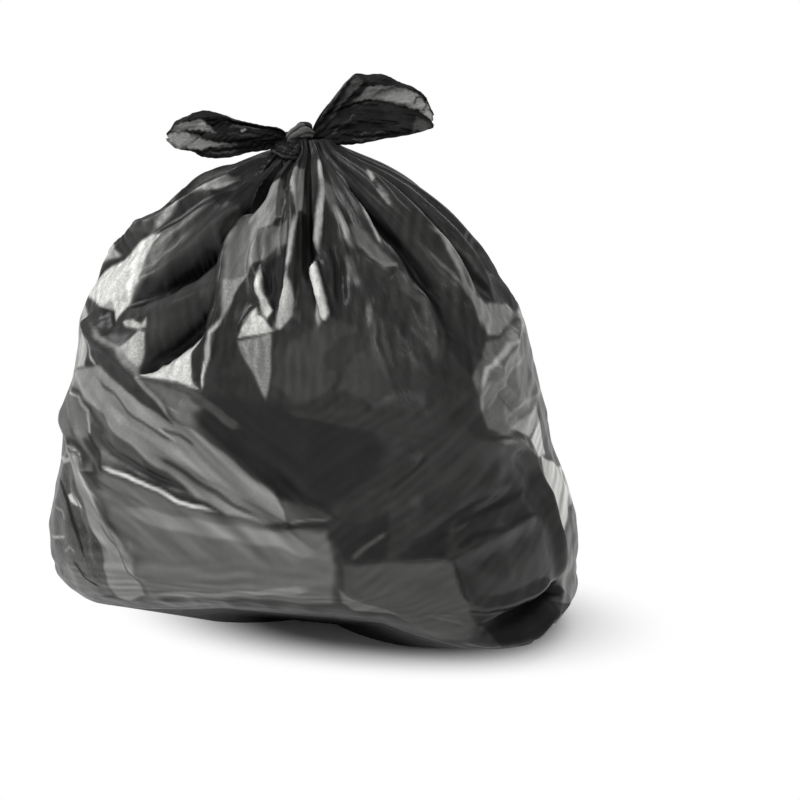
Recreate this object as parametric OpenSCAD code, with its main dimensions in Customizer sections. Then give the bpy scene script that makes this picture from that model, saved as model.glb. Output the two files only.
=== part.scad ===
// Refuse sack of thin black film, filled and tied shut: a slumped body whose
// folds gather at a knot, and two ears of film that stand out beside the knot.
// +Z is up, X runs along the broad side, and the origin lies on the floor under
// the middle of the sack. Angles round the sack are in degrees from +X, through
// the back (90), the left (180) and the front (270) to the right again (360).

/* [Body] */
// Width across the broad side
body_w = 524; // [490:2:560]
// Depth from front to back
body_d = 386; // [350:5:420]
// Height of the body from the floor to the neck
body_h = 484; // [450:2:520]
// Squareness of the section at the floor, where 2 is an ellipse
foot_square = 3; // [2.4:0.1:3.4]
// Squareness of the section at the neck
neck_square = 2; // [1.8:0.1:2.2]

/* [Foot] */
// Height of the bottom fold along the front, where the sack curls up
lift_front = 55; // [30:1:60]
// Height of the bottom fold at the left end
lift_left = 28; // [15:1:40]
// Height of the bottom fold at the heavy front right corner
lift_corner = 26; // [18:1:34]
// Height of the bottom fold where the weld tucks in, right of that corner
lift_tuck = 30; // [22:1:36]
// Height of the bottom fold at the right end
lift_right = 15; // [8:1:24]
// Height of the bottom fold along the back
lift_back = 20; // [8:1:32]
// Height over which the lifted foot blends into the wall
lift_blend = 80; // [70:1:95]
// Distance from the bottom fold in to the flat patch the sack stands on
patch_inset = 24; // [12:1:36]
// Run of the underside for each millimetre that the bottom fold is lifted
under_run = 1.5; // [1:0.1:1.8]

/* [Folds] */
// Height of the deepest placed fold, to which the others keep their shares
fold_h = 26; // [13:1:31]
// Width to either side of the widest placed fold
fold_w = 29; // [24:1:33]
// Pleats that run all round into the neck
gathers = 29; // [21:2:35]
// Height of those pleats where they are deepest
gather_depth = 4; // [1:0.1:5]
// Folds that run down the back from the neck
back_folds = 9; // [5:1:13]
// Height of the folds down the back
back_depth = 11; // [4:0.5:15]
// Width of those folds to either side
back_w = 18; // [14:1:22]
// Height of the broad bulges that the contents press into the film
bulge_depth = 3; // [0:0.5:6]
// Distance from the axis inside which folds flatten out towards the neck
fold_reach = 100; // [80:2:140]

/* [Knot] */
// Radius of the gathered neck
neck_r = 22.5; // [19:0.5:26]
// Distance that the knot's loop bites into the neck
loop_bite = 4.5; // [3.5:0.5:7]
// Thickness of the film strand in the loop
loop_t = 20; // [17:0.5:24]
// Height of the loop below the top of the neck
loop_drop = 10; // [4:1:18]
// Thickness of the strand that crosses over the loop
strand_t = 30; // [27:0.5:34]
// Distance that the knot sits in front of the neck
knot_fore = 9; // [4:0.5:14]
// Distance that the knot sits to the left of the neck
knot_aside = 10; // [4:0.5:11]

/* [Ears] */
// Angle round the sack along which the ears lie
ear_turn = 20; // [16:1:40]
// Length of the left ear from the neck to its tip
left_len = 138; // [110:1:150]
// Height of the left ear at its widest
left_h = 47; // [36:1:60]
// Length of the right ear from the neck to its tip
right_len = 127; // [110:1:145]
// Height of the right ear at its widest
right_h = 69; // [54:1:82]
// Thickness of the puffed film of an ear
ear_t = 15; // [10:0.5:22]
// Depth of the wave that runs along each ear
ear_wave = 7; // [0:0.5:10]

/* [Mesh] */
// Columns of points round the body
columns = 112; // [96:2:114]
// Rings of points from the bottom fold to the neck
rings = 41; // [34:1:42]

/* [Hidden] */
film = "#2c2c2b";

// Side outline from the bottom fold to the neck: share of the height, share of
// the way from the neck's radius to the half width and to the half depth, and
// lean along X as a share of the half width
outline = [
    [0.000, 0.847, 0.796, 0.040],
    [0.045, 0.934, 0.909, 0.030],
    [0.100, 0.984, 0.972, 0.012],
    [0.190, 1.000, 1.000, -0.005],
    [0.270, 0.973, 0.983, -0.018],
    [0.360, 0.921, 0.949, -0.032],
    [0.455, 0.901, 0.915, -0.038],
    [0.540, 0.862, 0.876, -0.032],
    [0.620, 0.830, 0.825, -0.030],
    [0.680, 0.781, 0.774, -0.030],
    [0.740, 0.696, 0.689, -0.026],
    [0.793, 0.604, 0.602, -0.022],
    [0.843, 0.498, 0.502, -0.022],
    [0.888, 0.374, 0.383, -0.015],
    [0.928, 0.239, 0.248, -0.008],
    [0.957, 0.114, 0.120, -0.004],
    [0.978, 0.035, 0.032, 0.000],
    [1.000, 0.000, 0.000, -0.008]
];
last = len(outline) - 1;

function ease(x) = let (t = max(0, min(1, x))) t * t * (3 - 2 * t);
function total(v) = v * [for (x = v) 1];
function power(x, n) = sign(x) * pow(abs(x), n);

// Column c of the outline at height share h, as a smooth curve through its rows
function row_below(h, k = 0) =
    k >= last - 1 || outline[k + 1][0] > h ? k : row_below(h, k + 1);
function lean_of(k, c) =
    let (i = max(k - 1, 0), j = min(k + 1, last))
        (outline[j][c] - outline[i][c]) / (outline[j][0] - outline[i][0]);
function outline_at(h, c) =
    let (
        k = row_below(h),
        step = outline[k + 1][0] - outline[k][0],
        t = (h - outline[k][0]) / step,
        u = 1 - t
    )
    outline[k][c] * u * u * (1 + 2 * t) + outline[k + 1][c] * t * t * (1 + 2 * u)
        + step * t * u * (lean_of(k, c) * u - lean_of(k + 1, c) * t);

function half_w(h) = neck_r + outline_at(h, 1) * (body_w / 2 - neck_r);
function half_d(h) = neck_r + outline_at(h, 2) * (body_d / 2 - neck_r);
function lean(h) = outline_at(h, 3) * body_w / 2;
function mean_r(h) = (half_w(h) + half_d(h)) / 2;

// Length along the side from the bottom fold up, against the height share
walk_steps = 90;
walk = [
    for (i = 0, s = 0; i <= walk_steps;
        s = s + norm([
            mean_r(min(i + 1, walk_steps) / walk_steps) - mean_r(i / walk_steps),
            body_h / walk_steps
        ]), i = i + 1)
        [s, i / walk_steps]
];
walk_back = [for (w = walk) [w[1], w[0]]];
side_length = walk[walk_steps][0];

// Placed folds
// Folds that run up and down: height of the crest (below 0 for a valley) and
// width to either side, both against the other folds, share of its length over
// which it fades at the top and at the foot, and its line as [percent of the
// height, angle]
steep_folds = [
    // right-hand fan
    [9, 17, 0, 0.35, [[100, 312], [92, 316.5], [82, 322.5]]],
    [-17, 18, 0, 0.3, [[100, 314], [89, 322], [76, 332], [62, 333]]],
    [10, 24, 0, 0.3, [[100, 343], [84, 344], [63, 348]]],
    [-14, 14, 0, 0.35, [[100, 353], [87, 353.5], [69, 354.5]]],
    [9, 18, 0, 0.35, [[100, 358], [84, 360], [70, 357]]],
    [-7, 14, 0, 0.4, [[100, 366], [71, 364]]],
    [8, 16, 0, 0.4, [[100, 372], [68, 375]]],
    [5, 14, 0.3, 0.4, [[75, 328], [59, 328]]],
    // middle
    [13, 15, 0, 0.15, [[100, 276], [84, 286], [66, 284]]],
    [-16, 14, 0, 0.3, [[100, 290], [84, 293], [71, 294.5]]],
    [13, 13, 0, 0.15, [[100, 305], [89, 300], [79, 297.5]]],
    [11, 11, 0.2, 0.15, [[80, 295], [68, 300]]],
    [-9, 13, 0.3, 0.4, [[83, 304], [69, 304]]],
    [-14, 12, 0, 0.35, [[100, 266], [87, 276], [67, 277]]],
    [17, 20, 0, 0.15, [[97, 250], [85, 257], [65, 261], [54, 258.5]]],
    // left
    [7, 16, 0.1, 0.3, [[99, 184], [86, 202], [68, 193]]],
    [7, 15, 0.1, 0.3, [[97, 221], [82, 209], [68, 190]]],
    [-26, 29, 0, 0.25, [[100, 250], [89, 255], [80, 248], [67, 221]]],
    [-20, 23, 0.25, 0.15, [[71, 259], [62, 246], [56, 237]]],
    [12, 16, 0.2, 0.1, [[49, 200], [40, 216], [29, 232], [14, 242]]],
    // right side panel and the heavy corner
    [12, 14, 0.2, 0.1, [[45, 333], [40, 354], [30, 358], [12, 356]]],
    [6, 12, 0.1, 0.1, [[24, 321], [11, 328]]],
    [5, 12, 0.1, 0.2, [[24, 299], [13, 304]]],
    [5, 12, 0.3, 0.2, [[45, 325], [35, 312], [25, 303]]]
];
// Folds that run across: height, width, fade at the left and at the right end,
// and the line as [angle, percent of the height]
cross_folds = [
    [10, 20, 0.3, 0.15, [[336, 51], [348, 59], [368, 66]]],
    [8, 11, 0.1, 0.1, [[236, 56], [258, 54]]],
    [12, 15, 0.1, 0.3, [[204, 63], [224, 59], [250, 49]]],
    [11, 18, 0.3, 0.2, [[238, 56], [258, 48], [273, 41], [288, 31]]],
    [-6, 11, 0.2, 0.3, [[224, 52], [262, 40]]],
    [9, 11, 0.15, 0.25, [[226, 38], [252, 33], [266, 30]]],
    [-9, 13, 0.2, 0.2, [[240, 42], [270, 33], [294, 25]]],
    [5, 13, 0.3, 0.3, [[241, 30], [280, 28]]],
    [9, 14, 0.15, 0.3, [[300, 23], [322, 23.5], [337, 27], [352, 29]]],
    [-6, 13, 0.3, 0.25, [[308, 24], [330, 32], [346, 35]]],
    [8, 10, 0.2, 0.2, [[325, 12], [353, 13]]],
    [-24, 15, 0.3, 0.25, [[325, 6.5], [345, 8], [358, 9.5]]],
    [8, 8, 0.2, 0.2, [[323, 2.5], [357, 4]]]
];
deepest = max([for (f = concat(steep_folds, cross_folds)) abs(f[0])]);
widest = max([for (f = concat(steep_folds, cross_folds)) f[1]]);
placed = function (folds) [
    for (f = folds) [f[0] * fold_h / deepest, f[1] * fold_w / widest, f[2], f[3], f[4]]
];

// Folds down the back and sides, spread by the golden section, from the right
// end of the back to its left end
golden = 0.618;
back_from = 28;
back_span = 132;
foot_share = 44;
foot_spread = 30;
function spread(k) = (k * golden) % 1;
back_steep = [
    for (k = [0 : back_folds - 1])
        let (a = back_from + back_span * (k + 0.5) / back_folds, foot = foot_share + foot_spread * spread(k))
        [(k % 2 == 0 ? 1 : -0.8) * back_depth, (0.83 + 0.33 * spread(k + 2)) * back_w, 0, 0.4,
            [[100, a + 3], [foot, a + 24 * (spread(k + 1) - 0.5)]]]
];
// Creases that run slantwise over the lower half of the back
back_creases = 8;
crease_turn = 44;
back_cross = [
    for (k = [0 : back_creases - 1])
        let (
            a = back_from + back_span * k / (back_creases + 1),
            h = 12 + 40 * spread(k),
            climb = 36 * (spread(k + 3) - 0.5)
        )
        [(k % 3 == 1 ? -0.7 : 0.8) * back_depth, back_w, 0.25, 0.3,
            [[a, h], [a + crease_turn / 2, h + 0.6 * climb], [a + crease_turn, h + climb]]]
];

steep = concat(placed(steep_folds), back_steep);
cross = concat(placed(cross_folds), back_cross);

// A crest that falls away to nothing at the fold's width, and rounder at its top
// than a cone
roundness = 0.6;
function crest(d, w) =
    let (t = 1 - d / w) roundness * ease(t) + (1 - roundness) * pow(t, 1.6);
function fades(t, fore, aft) =
    (fore > 0 ? ease(t / fore) : 1) * (aft > 0 ? ease((1 - t) / aft) : 1);

// Width of one degree round the sack, as folds are drawn
degree_w = PI * (body_w + body_d) / 2 / 360;
function walk_at(percent) = lookup(percent / 100, walk_back);

// How squarely a fold's line crosses the measuring direction, from its two ends
function steep_share(f) =
    let (p = f[4][0], q = f[4][len(f[4]) - 1],
        up = walk_at(p[0]) - walk_at(q[0]), aside = (p[1] - q[1]) * degree_w)
    up / norm([up, aside]);
function cross_share(f) =
    let (p = f[4][0], q = f[4][len(f[4]) - 1],
        up = walk_at(p[1]) - walk_at(q[1]), aside = (p[0] - q[0]) * degree_w)
    abs(aside) / norm([up, aside]);
steep_shares = [for (f = steep) steep_share(f)];
cross_shares = [for (f = cross) cross_share(f)];

// The turn of angle a that lies nearest to angle b
function nearest(a, b) = a - 360 * round((a - b) / 360);
function steep_rise(k, a, h) =
    let (f = steep[k], top = f[4][0][0], foot = f[4][len(f[4]) - 1][0])
    h > top || h < foot ? 0 :
        let (at = lookup(h, f[4]), d = abs(nearest(a, at) - at) * degree_w * steep_shares[k])
        d >= f[1] ? 0 : f[0] * crest(d, f[1]) * fades((top - h) / (top - foot), f[2], f[3]);
function cross_rise(k, a, s) =
    let (f = cross[k], from = f[4][0][0], to = f[4][len(f[4]) - 1][0],
        b = nearest(a, (from + to) / 2))
    b < from || b > to ? 0 :
        let (d = abs(s - walk_at(lookup(b, f[4]))) * cross_shares[k])
        d >= f[1] ? 0 : f[0] * crest(d, f[1]) * fades((b - from) / (to - from), f[2], f[3]);

// Broad bulges of the contents, none at the neck
function bulge(a, h) =
    (sin(3 * a + 260 * h) + 0.7 * cos(5 * a - 400 * h + 50)) * sin(180 * pow(h, 0.8));

// Pleats that run into the neck, deepest just below it
function gather(a, r) =
    cos(gathers * a) * ease((fold_reach * 1.2 - r) / fold_reach) * min(1, r * 2.5 / fold_reach);

// Height of the film above the smooth body at angle a, height share h
function film_rise(a, h) =
    let (r = mean_r(h), s = lookup(h, walk_back))
    min(1, r / fold_reach) * total(concat(
        [for (k = [0 : len(steep) - 1]) steep_rise(k, a, h * 100)],
        [for (k = [0 : len(cross) - 1]) cross_rise(k, a, s)]))
        + gather_depth * gather(a, r) + bulge_depth * bulge(a, h);

// Body points
// Columns run from the back round to the back again, and stand closer along the
// front, where the folds are finer
crowding = 14;
sparse_a = 110;
function column_a(j) = let (u = 90 + 360 * j / columns) u + crowding * sin(u - sparse_a);
function ring_h(i) = lookup(side_length * i / (rings - 1), walk);

// Height of the bottom fold round the sack
lifts = [
    [90, lift_back], [150, lift_back], [190, lift_left], [215, lift_left * 1.2],
    [255, lift_front], [308, lift_front * 1.06], [326, lift_corner * 1.25],
    [333, lift_corner], [344, lift_corner * 0.7], [349, lift_tuck], [354, lift_tuck * 0.8],
    [360, lift_right], [380, lift_right], [400, lift_back], [450, lift_back]
];
// How far the bottom fold stands out round the sack, more at its two front corners
foot_reach = [
    [90, 1], [170, 1.05], [205, 1.08], [245, 1], [295, 1], [325, 1.11], [358, 1.1],
    [400, 1.02], [450, 1]
];
foot_h = 0.1;
function foot_swell(a, h) = 1 + (lookup(a, foot_reach) - 1) * max(0, 1 - h / foot_h);
function lifted(a, z) =
    let (lift = lookup(a, lifts))
    z >= lift_blend ? z : lift + z * (lift_blend - lift) / lift_blend;

nudge = 0.005;
function body_point(a, h, rise) =
    let (
        w = half_w(h),
        d = half_d(h),
        n = foot_square + (neck_square - foot_square) * h,
        r = foot_swell(a, h) * pow(pow(abs(cos(a)) / w, n) + pow(abs(sin(a)) / d, n), -1 / n),
        slope = (mean_r(h - nudge) - mean_r(h + nudge)) / (2 * nudge * body_h),
        gx = power(r * cos(a) / w, n - 1) / w,
        gy = power(r * sin(a) / d, n - 1) / d,
        g = norm([gx, gy]),
        out = [gx / g, gy / g, slope] / norm([1, slope])
    )
    [r * cos(a) + lean(h), r * sin(a), lifted(a, h * body_h)] + rise * out;

angles = [for (j = [0 : columns - 1]) column_a(j)];
rises = [for (i = [0 : rings - 1]) let (h = ring_h(i)) [for (a = angles) film_rise(a, h)]];
wall = [for (i = [0 : rings - 1]) let (h = ring_h(i))
    [for (j = [0 : columns - 1]) body_point(angles[j], h, rises[i][j])]];

// Under the bottom fold the film slopes in to the patch that carries the sack
centre_x = lean(0);
function inward(p, distance) =
    let (v = [p[0] - centre_x, p[1]], r = norm(v)) v * (r - distance) / r + [centre_x, 0];
function under_point(j, share) =
    let (p = wall[0][j], inset = patch_inset + under_run * p[2], q = inward(p, inset * share))
    [q[0], q[1], p[2] * pow(1 - share, 1.4)];
under = [for (share = [1, 0.5]) [for (j = [0 : columns - 1]) under_point(j, share)]];

grid = concat(under, wall);
tilt = concat([rises[0], rises[0]], rises);
rows = len(grid);

// The body is centred over the origin
xs = [for (row = grid) for (p = row) p[0]];
ys = [for (row = grid) for (p = row) p[1]];
mid = [(min(xs) + max(xs)) / 2, (min(ys) + max(ys)) / 2, 0];

// Faces: each cell is split along the diagonal whose ends rise most alike, so
// that the edges follow the folds
function at(i, j) = i * columns + j % columns;
function cell(i, j) =
    let (
        a = at(i, j), b = at(i, j + 1), c = at(i + 1, j + 1), d = at(i + 1, j), k = (j + 1) % columns,
        along = abs(tilt[i][j] - tilt[i + 1][k]) <= abs(tilt[i][k] - tilt[i + 1][j])
    )
    along ? [[a, d, c], [a, c, b]] : [[a, d, b], [b, d, c]];

module body() {
    floor_mid = rows * columns;
    neck_mid = floor_mid + 1;
    top = wall[rings - 1];
    color(film)
        polyhedron(
            points = concat(
                [for (row = grid) each row],
                [[centre_x, 0, 0], total_point(top) / columns]
            ),
            faces = concat(
                [for (i = [0 : rows - 2]) for (j = [0 : columns - 1]) each cell(i, j)],
                [for (j = [0 : columns - 1]) [floor_mid, at(0, j), at(0, j + 1)]],
                [for (j = [0 : columns - 1]) [neck_mid, at(rows - 1, j + 1), at(rows - 1, j)]]
            ),
            convexity = 12
        );
}
function total_point(v) = [for (c = [0 : 2]) total([for (p = v) p[c]])];

knot_at = [-knot_aside, -knot_fore, body_h - loop_drop];
ear_root = [-6, -2, body_h];
loop_r = neck_r - loop_bite;

// A strand of film as balls joined in a row; each stop is a point and a thickness
module strand(stops) {
    for (k = [0 : len(stops) - 2])
        hull() for (s = [stops[k], stops[k + 1]])
            translate(s[0]) sphere(d = s[1], $fn = 9);
}

module knot() {
    color(film)
        rotate([0, 0, ear_turn]) translate(knot_at) {
            // The loop that binds the neck dips towards the front
            strand([for (a = [0 : 45 : 360])
                [loop_r * [cos(a), 0.9 * sin(a), 0.33 * sin(a) - 0.17 * cos(a)],
                    loop_t * (1 + 0.1 * cos(3 * a))]]);
            // The twisted neck comes up through the loop and fills it
            strand([
                [[knot_aside, knot_fore, -1.5 * loop_t], neck_r * 1.8],
                [[knot_aside / 2, knot_fore / 2, -loop_t / 2], neck_r * 1.5],
                [[0, 0, loop_t / 2], neck_r * 0.8]
            ]);
            // Where the ears part from it
            strand([[[knot_aside / 2, knot_fore / 2, -loop_t / 2], neck_r * 1.5],
                [ear_root - knot_at - [0, 0, loop_t / 4], neck_r]]);
            // The gathered film that leaves the loop to the lower left
            strand([
                [loop_r * [-1.2, -0.5, -0.6], loop_t],
                [loop_r * [-2.3, -1.3, -1.0], loop_t * 0.9],
                [loop_r * [-3.1, -2.3, -1.7], loop_t * 0.4]
            ]);
            // The thick strand that crosses the loop from the lower left to the top
            strand([
                [loop_r * [-1.40, -0.65, -1.00], strand_t * 0.8],
                [loop_r * [-0.95, -1.10, -0.30], strand_t],
                [loop_r * [-0.40, -0.90, 0.50], strand_t * 0.9],
                [loop_r * [0, -0.30, 1.10], strand_t * 0.55]
            ]);
        }
}

// Sections of an ear: share of its length, low and high edge as shares of its
// height, and thickness as a share
left_sections = [
    [0.05, -0.30, 0.00, 0.90], [0.19, -0.22, 0.15, 0.80], [0.36, -0.30, 0.30, 0.75],
    [0.52, -0.38, 0.39, 0.90], [0.66, -0.43, 0.55, 1.00], [0.76, -0.37, 0.57, 1.00],
    [0.87, -0.26, 0.45, 0.85], [0.95, -0.21, 0.28, 0.60], [1.00, -0.02, 0.08, 0.25]
];
right_sections = [
    [0.05, -0.12, 0.02, 0.90], [0.14, -0.06, 0.36, 0.80], [0.22, -0.07, 0.58, 0.80],
    [0.30, -0.09, 0.80, 0.90], [0.39, -0.09, 0.91, 1.00], [0.53, -0.05, 0.90, 1.00],
    [0.62, 0.00, 0.90, 1.00], [0.74, 0.03, 0.81, 0.95], [0.86, 0.09, 0.71, 0.80],
    [0.95, 0.12, 0.50, 0.60], [1.00, 0.18, 0.29, 0.25]
];

// One ear along +X: a flat pouch of film, waved across, with pleats that run
// out of its root and its rim pinched to an edge
sides = 18;
pleat_share = 0.35;
module ear(sections, length, height, phase) {
    count = len(sections);
    function ear_point(s, k) =
        let (
            a = 360 * k / sides,
            v = cos(a),
            pleats = 1 + pleat_share * (1 - s[0]) * cos(6 * a),
            puff = sin(a) * sqrt(abs(sin(a))) * s[3] * ear_t / 2 * pleats,
            wave = ear_wave * sin(180 * s[0]) * sin(240 * v + phase)
        )
        [s[0] * length, puff + wave, height * (s[1] + s[2] + v * (s[2] - s[1])) / 2];
    function p(i, k) = i * sides + k % sides;
    color(film)
        polyhedron(
            points = [for (s = sections) for (k = [0 : sides - 1]) ear_point(s, k)],
            faces = concat(
                [for (i = [0 : count - 2]) for (k = [0 : sides - 1]) each [
                    [p(i, k), p(i, k + 1), p(i + 1, k + 1)],
                    [p(i, k), p(i + 1, k + 1), p(i + 1, k)]
                ]],
                [[for (k = [sides - 1 : -1 : 0]) k], [for (k = [0 : sides - 1]) p(count - 1, k)]]
            ),
            convexity = 6
        );
}

module bin_bag() {
    translate(-mid) union() {
        body();
        knot();
        rotate([0, 0, ear_turn]) translate(ear_root) {
            mirror([1, 0, 0]) ear(left_sections, left_len, left_h, 40);
            ear(right_sections, right_len, right_h, -60);
        }
    }
}

bin_bag();
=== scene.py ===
"""The looks of a filled, knotted black bin bag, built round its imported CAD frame.

The sack is one sheet of thin black film. Its wall is relaxed on a grid: the film keeps the
lengths it was cut to, the contents hold it from inside, and the folds that the photograph
shows pull it towards their own lines. The knot and the two ears are separate meshes of the
same film. Sizes are in millimetres, and the meshes are written in metres in the CAD frame.
"""

import logging
import math
from dataclasses import dataclass, field
from enum import Enum

import bpy
import numpy as np
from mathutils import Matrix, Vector

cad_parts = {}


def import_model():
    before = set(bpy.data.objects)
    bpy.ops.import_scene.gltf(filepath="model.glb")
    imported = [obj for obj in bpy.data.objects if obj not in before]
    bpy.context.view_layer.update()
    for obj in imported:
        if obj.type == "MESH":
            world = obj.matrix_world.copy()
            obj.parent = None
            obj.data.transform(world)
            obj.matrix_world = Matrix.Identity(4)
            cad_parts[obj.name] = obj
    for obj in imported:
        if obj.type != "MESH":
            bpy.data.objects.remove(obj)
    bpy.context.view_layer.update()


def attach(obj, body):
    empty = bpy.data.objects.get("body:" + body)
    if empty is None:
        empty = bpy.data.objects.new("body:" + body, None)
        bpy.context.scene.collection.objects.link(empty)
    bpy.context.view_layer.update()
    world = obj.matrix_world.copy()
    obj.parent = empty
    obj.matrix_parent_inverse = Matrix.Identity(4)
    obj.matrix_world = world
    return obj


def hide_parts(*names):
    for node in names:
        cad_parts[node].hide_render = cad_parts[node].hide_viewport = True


log = logging.getLogger("bin_bag")

MM = 0.001
BODY = "root"
NODE = "bin_bag"
MARKS = "film_marks"
SEED = 7


class EarSide(Enum):
    """The two ears of the knot, with the way each points along the knot's line."""

    LEFT = -1
    RIGHT = 1


class Shine(Enum):
    """How the film returns light, as roughness of its surface."""

    TAUT = 0.31
    CREASED = 0.42
    CALM = 0.68
    FLOOR = 0.75


class Tone(Enum):
    """How pale the film is painted, as the share of light it scatters.

    The pale steps stand for painted highlights, reflections and light through thin film,
    and the darkest for painted shade.
    """

    BLACK = 0.002
    DARK = 0.010
    PLAIN = 0.024
    DIM = 0.038
    SOFT = 0.057
    GREY = 0.115
    LIGHT = 0.21
    PALE = 0.38
    WHITE = 0.62


@dataclass(frozen=True)
class Fold:
    """A fold laid on the sack's wall along a line of (angle in degrees, height in mm).

    A positive rise is a ridge and a negative one a valley. The widths are the reach of the
    fold's flanks on either side, and the fades are the shares of its length at its start
    and end over which it dies out.
    """

    rise: float
    reach_before: float
    reach_after: float
    fade_start: float
    fade_end: float
    line: tuple[tuple[float, float], ...]


def smooth(x: np.ndarray) -> np.ndarray:
    """Eased step from 0 to 1 over the same range."""
    x = np.clip(x, 0.0, 1.0)
    return x * x * (3.0 - 2.0 * x)


def turned(delta: np.ndarray) -> np.ndarray:
    """An angle difference in degrees brought into -180 to 180."""
    return (delta + 180.0) % 360.0 - 180.0


def unit(v: np.ndarray) -> np.ndarray:
    """Vectors scaled to length 1 along their last axis."""
    return v / np.maximum(np.linalg.norm(v, axis=-1, keepdims=True), 1e-9)


def line_distance(x: np.ndarray, y: np.ndarray, px: list, py: list) -> tuple:
    """How far grid points lie from a broken line.

    Args:
        x: Sideways places of the points in mm.
        y: Places of the points up the film in mm.
        px: Sideways places of the line's points, each a number or one for each row.
        py: Places of the line's points up the film.

    Returns:
        The distance in mm and the share of the way along the line.
    """
    best = np.full(np.broadcast(x, y).shape, 1e9)
    along = np.zeros(best.shape)
    for k in range(len(py) - 1):
        dx, dy = px[k + 1] - px[k], py[k + 1] - py[k]
        length = dx * dx + dy * dy + 1e-9
        t = np.clip(((x - px[k]) * dx + (y - py[k]) * dy) / length, 0, 1)
        d = np.hypot(x - px[k] - t * dx, y - py[k] - t * dy)
        along = np.where(d < best, (k + t) / (len(py) - 1), along)
        best = np.minimum(d, best)
    return best, along


@dataclass(frozen=True)
class Patch:
    """A patch of painted light or shade on the film, sharp-edged as facets and folds are.

    The outline runs through points read in the photograph, as (x, y) in pixels of
    its 800 x 800 frame. The edge is the width in mm over which the patch goes over into
    the film round it.
    """

    tone: Tone
    crumple: float
    edge: float
    points: tuple[tuple[float, float], ...]

    def cover(self, x: np.ndarray, y: np.ndarray, px: list, py: list) -> np.ndarray:
        """Share of the patch at each point, from 0 outside to 1 inside."""
        px, py = px + px[:1], py + py[:1]
        d, _ = line_distance(x, y, px, py)
        inside = np.zeros(d.shape, bool)
        for k in range(len(py) - 1):
            if py[k] != py[k + 1]:
                spans = (py[k] > y) != (py[k + 1] > y)
                cross = px[k] + (y - py[k]) * (px[k + 1] - px[k]) / (py[k + 1] - py[k])
                inside ^= spans & (x < cross)
        return smooth(0.5 + np.where(inside, d, -d) / max(self.edge, 3.2))


@dataclass(frozen=True)
class Streak:
    """A narrow line of another tone, where a crease catches the light or lies in shade.

    The line runs through points read in the photograph, as a patch's outline does.
    """

    tone: Tone
    crumple: float
    width: float
    points: tuple[tuple[float, float], ...]
    taper: float = 0.16

    def cover(self, x: np.ndarray, y: np.ndarray, px: list, py: list) -> np.ndarray:
        """Share of the streak at each point, thinner towards its two ends."""
        d, along = line_distance(x, y, px, py)
        thin = smooth(np.minimum(along, 1 - along) / self.taper)
        half = 0.5 * self.width * (0.35 + 0.65 * thin)
        soft = 2.0 + 0.2 * self.width
        return smooth((half + 0.6 * soft - d) / soft) * np.minimum(1, 0.25 + thin)


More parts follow.
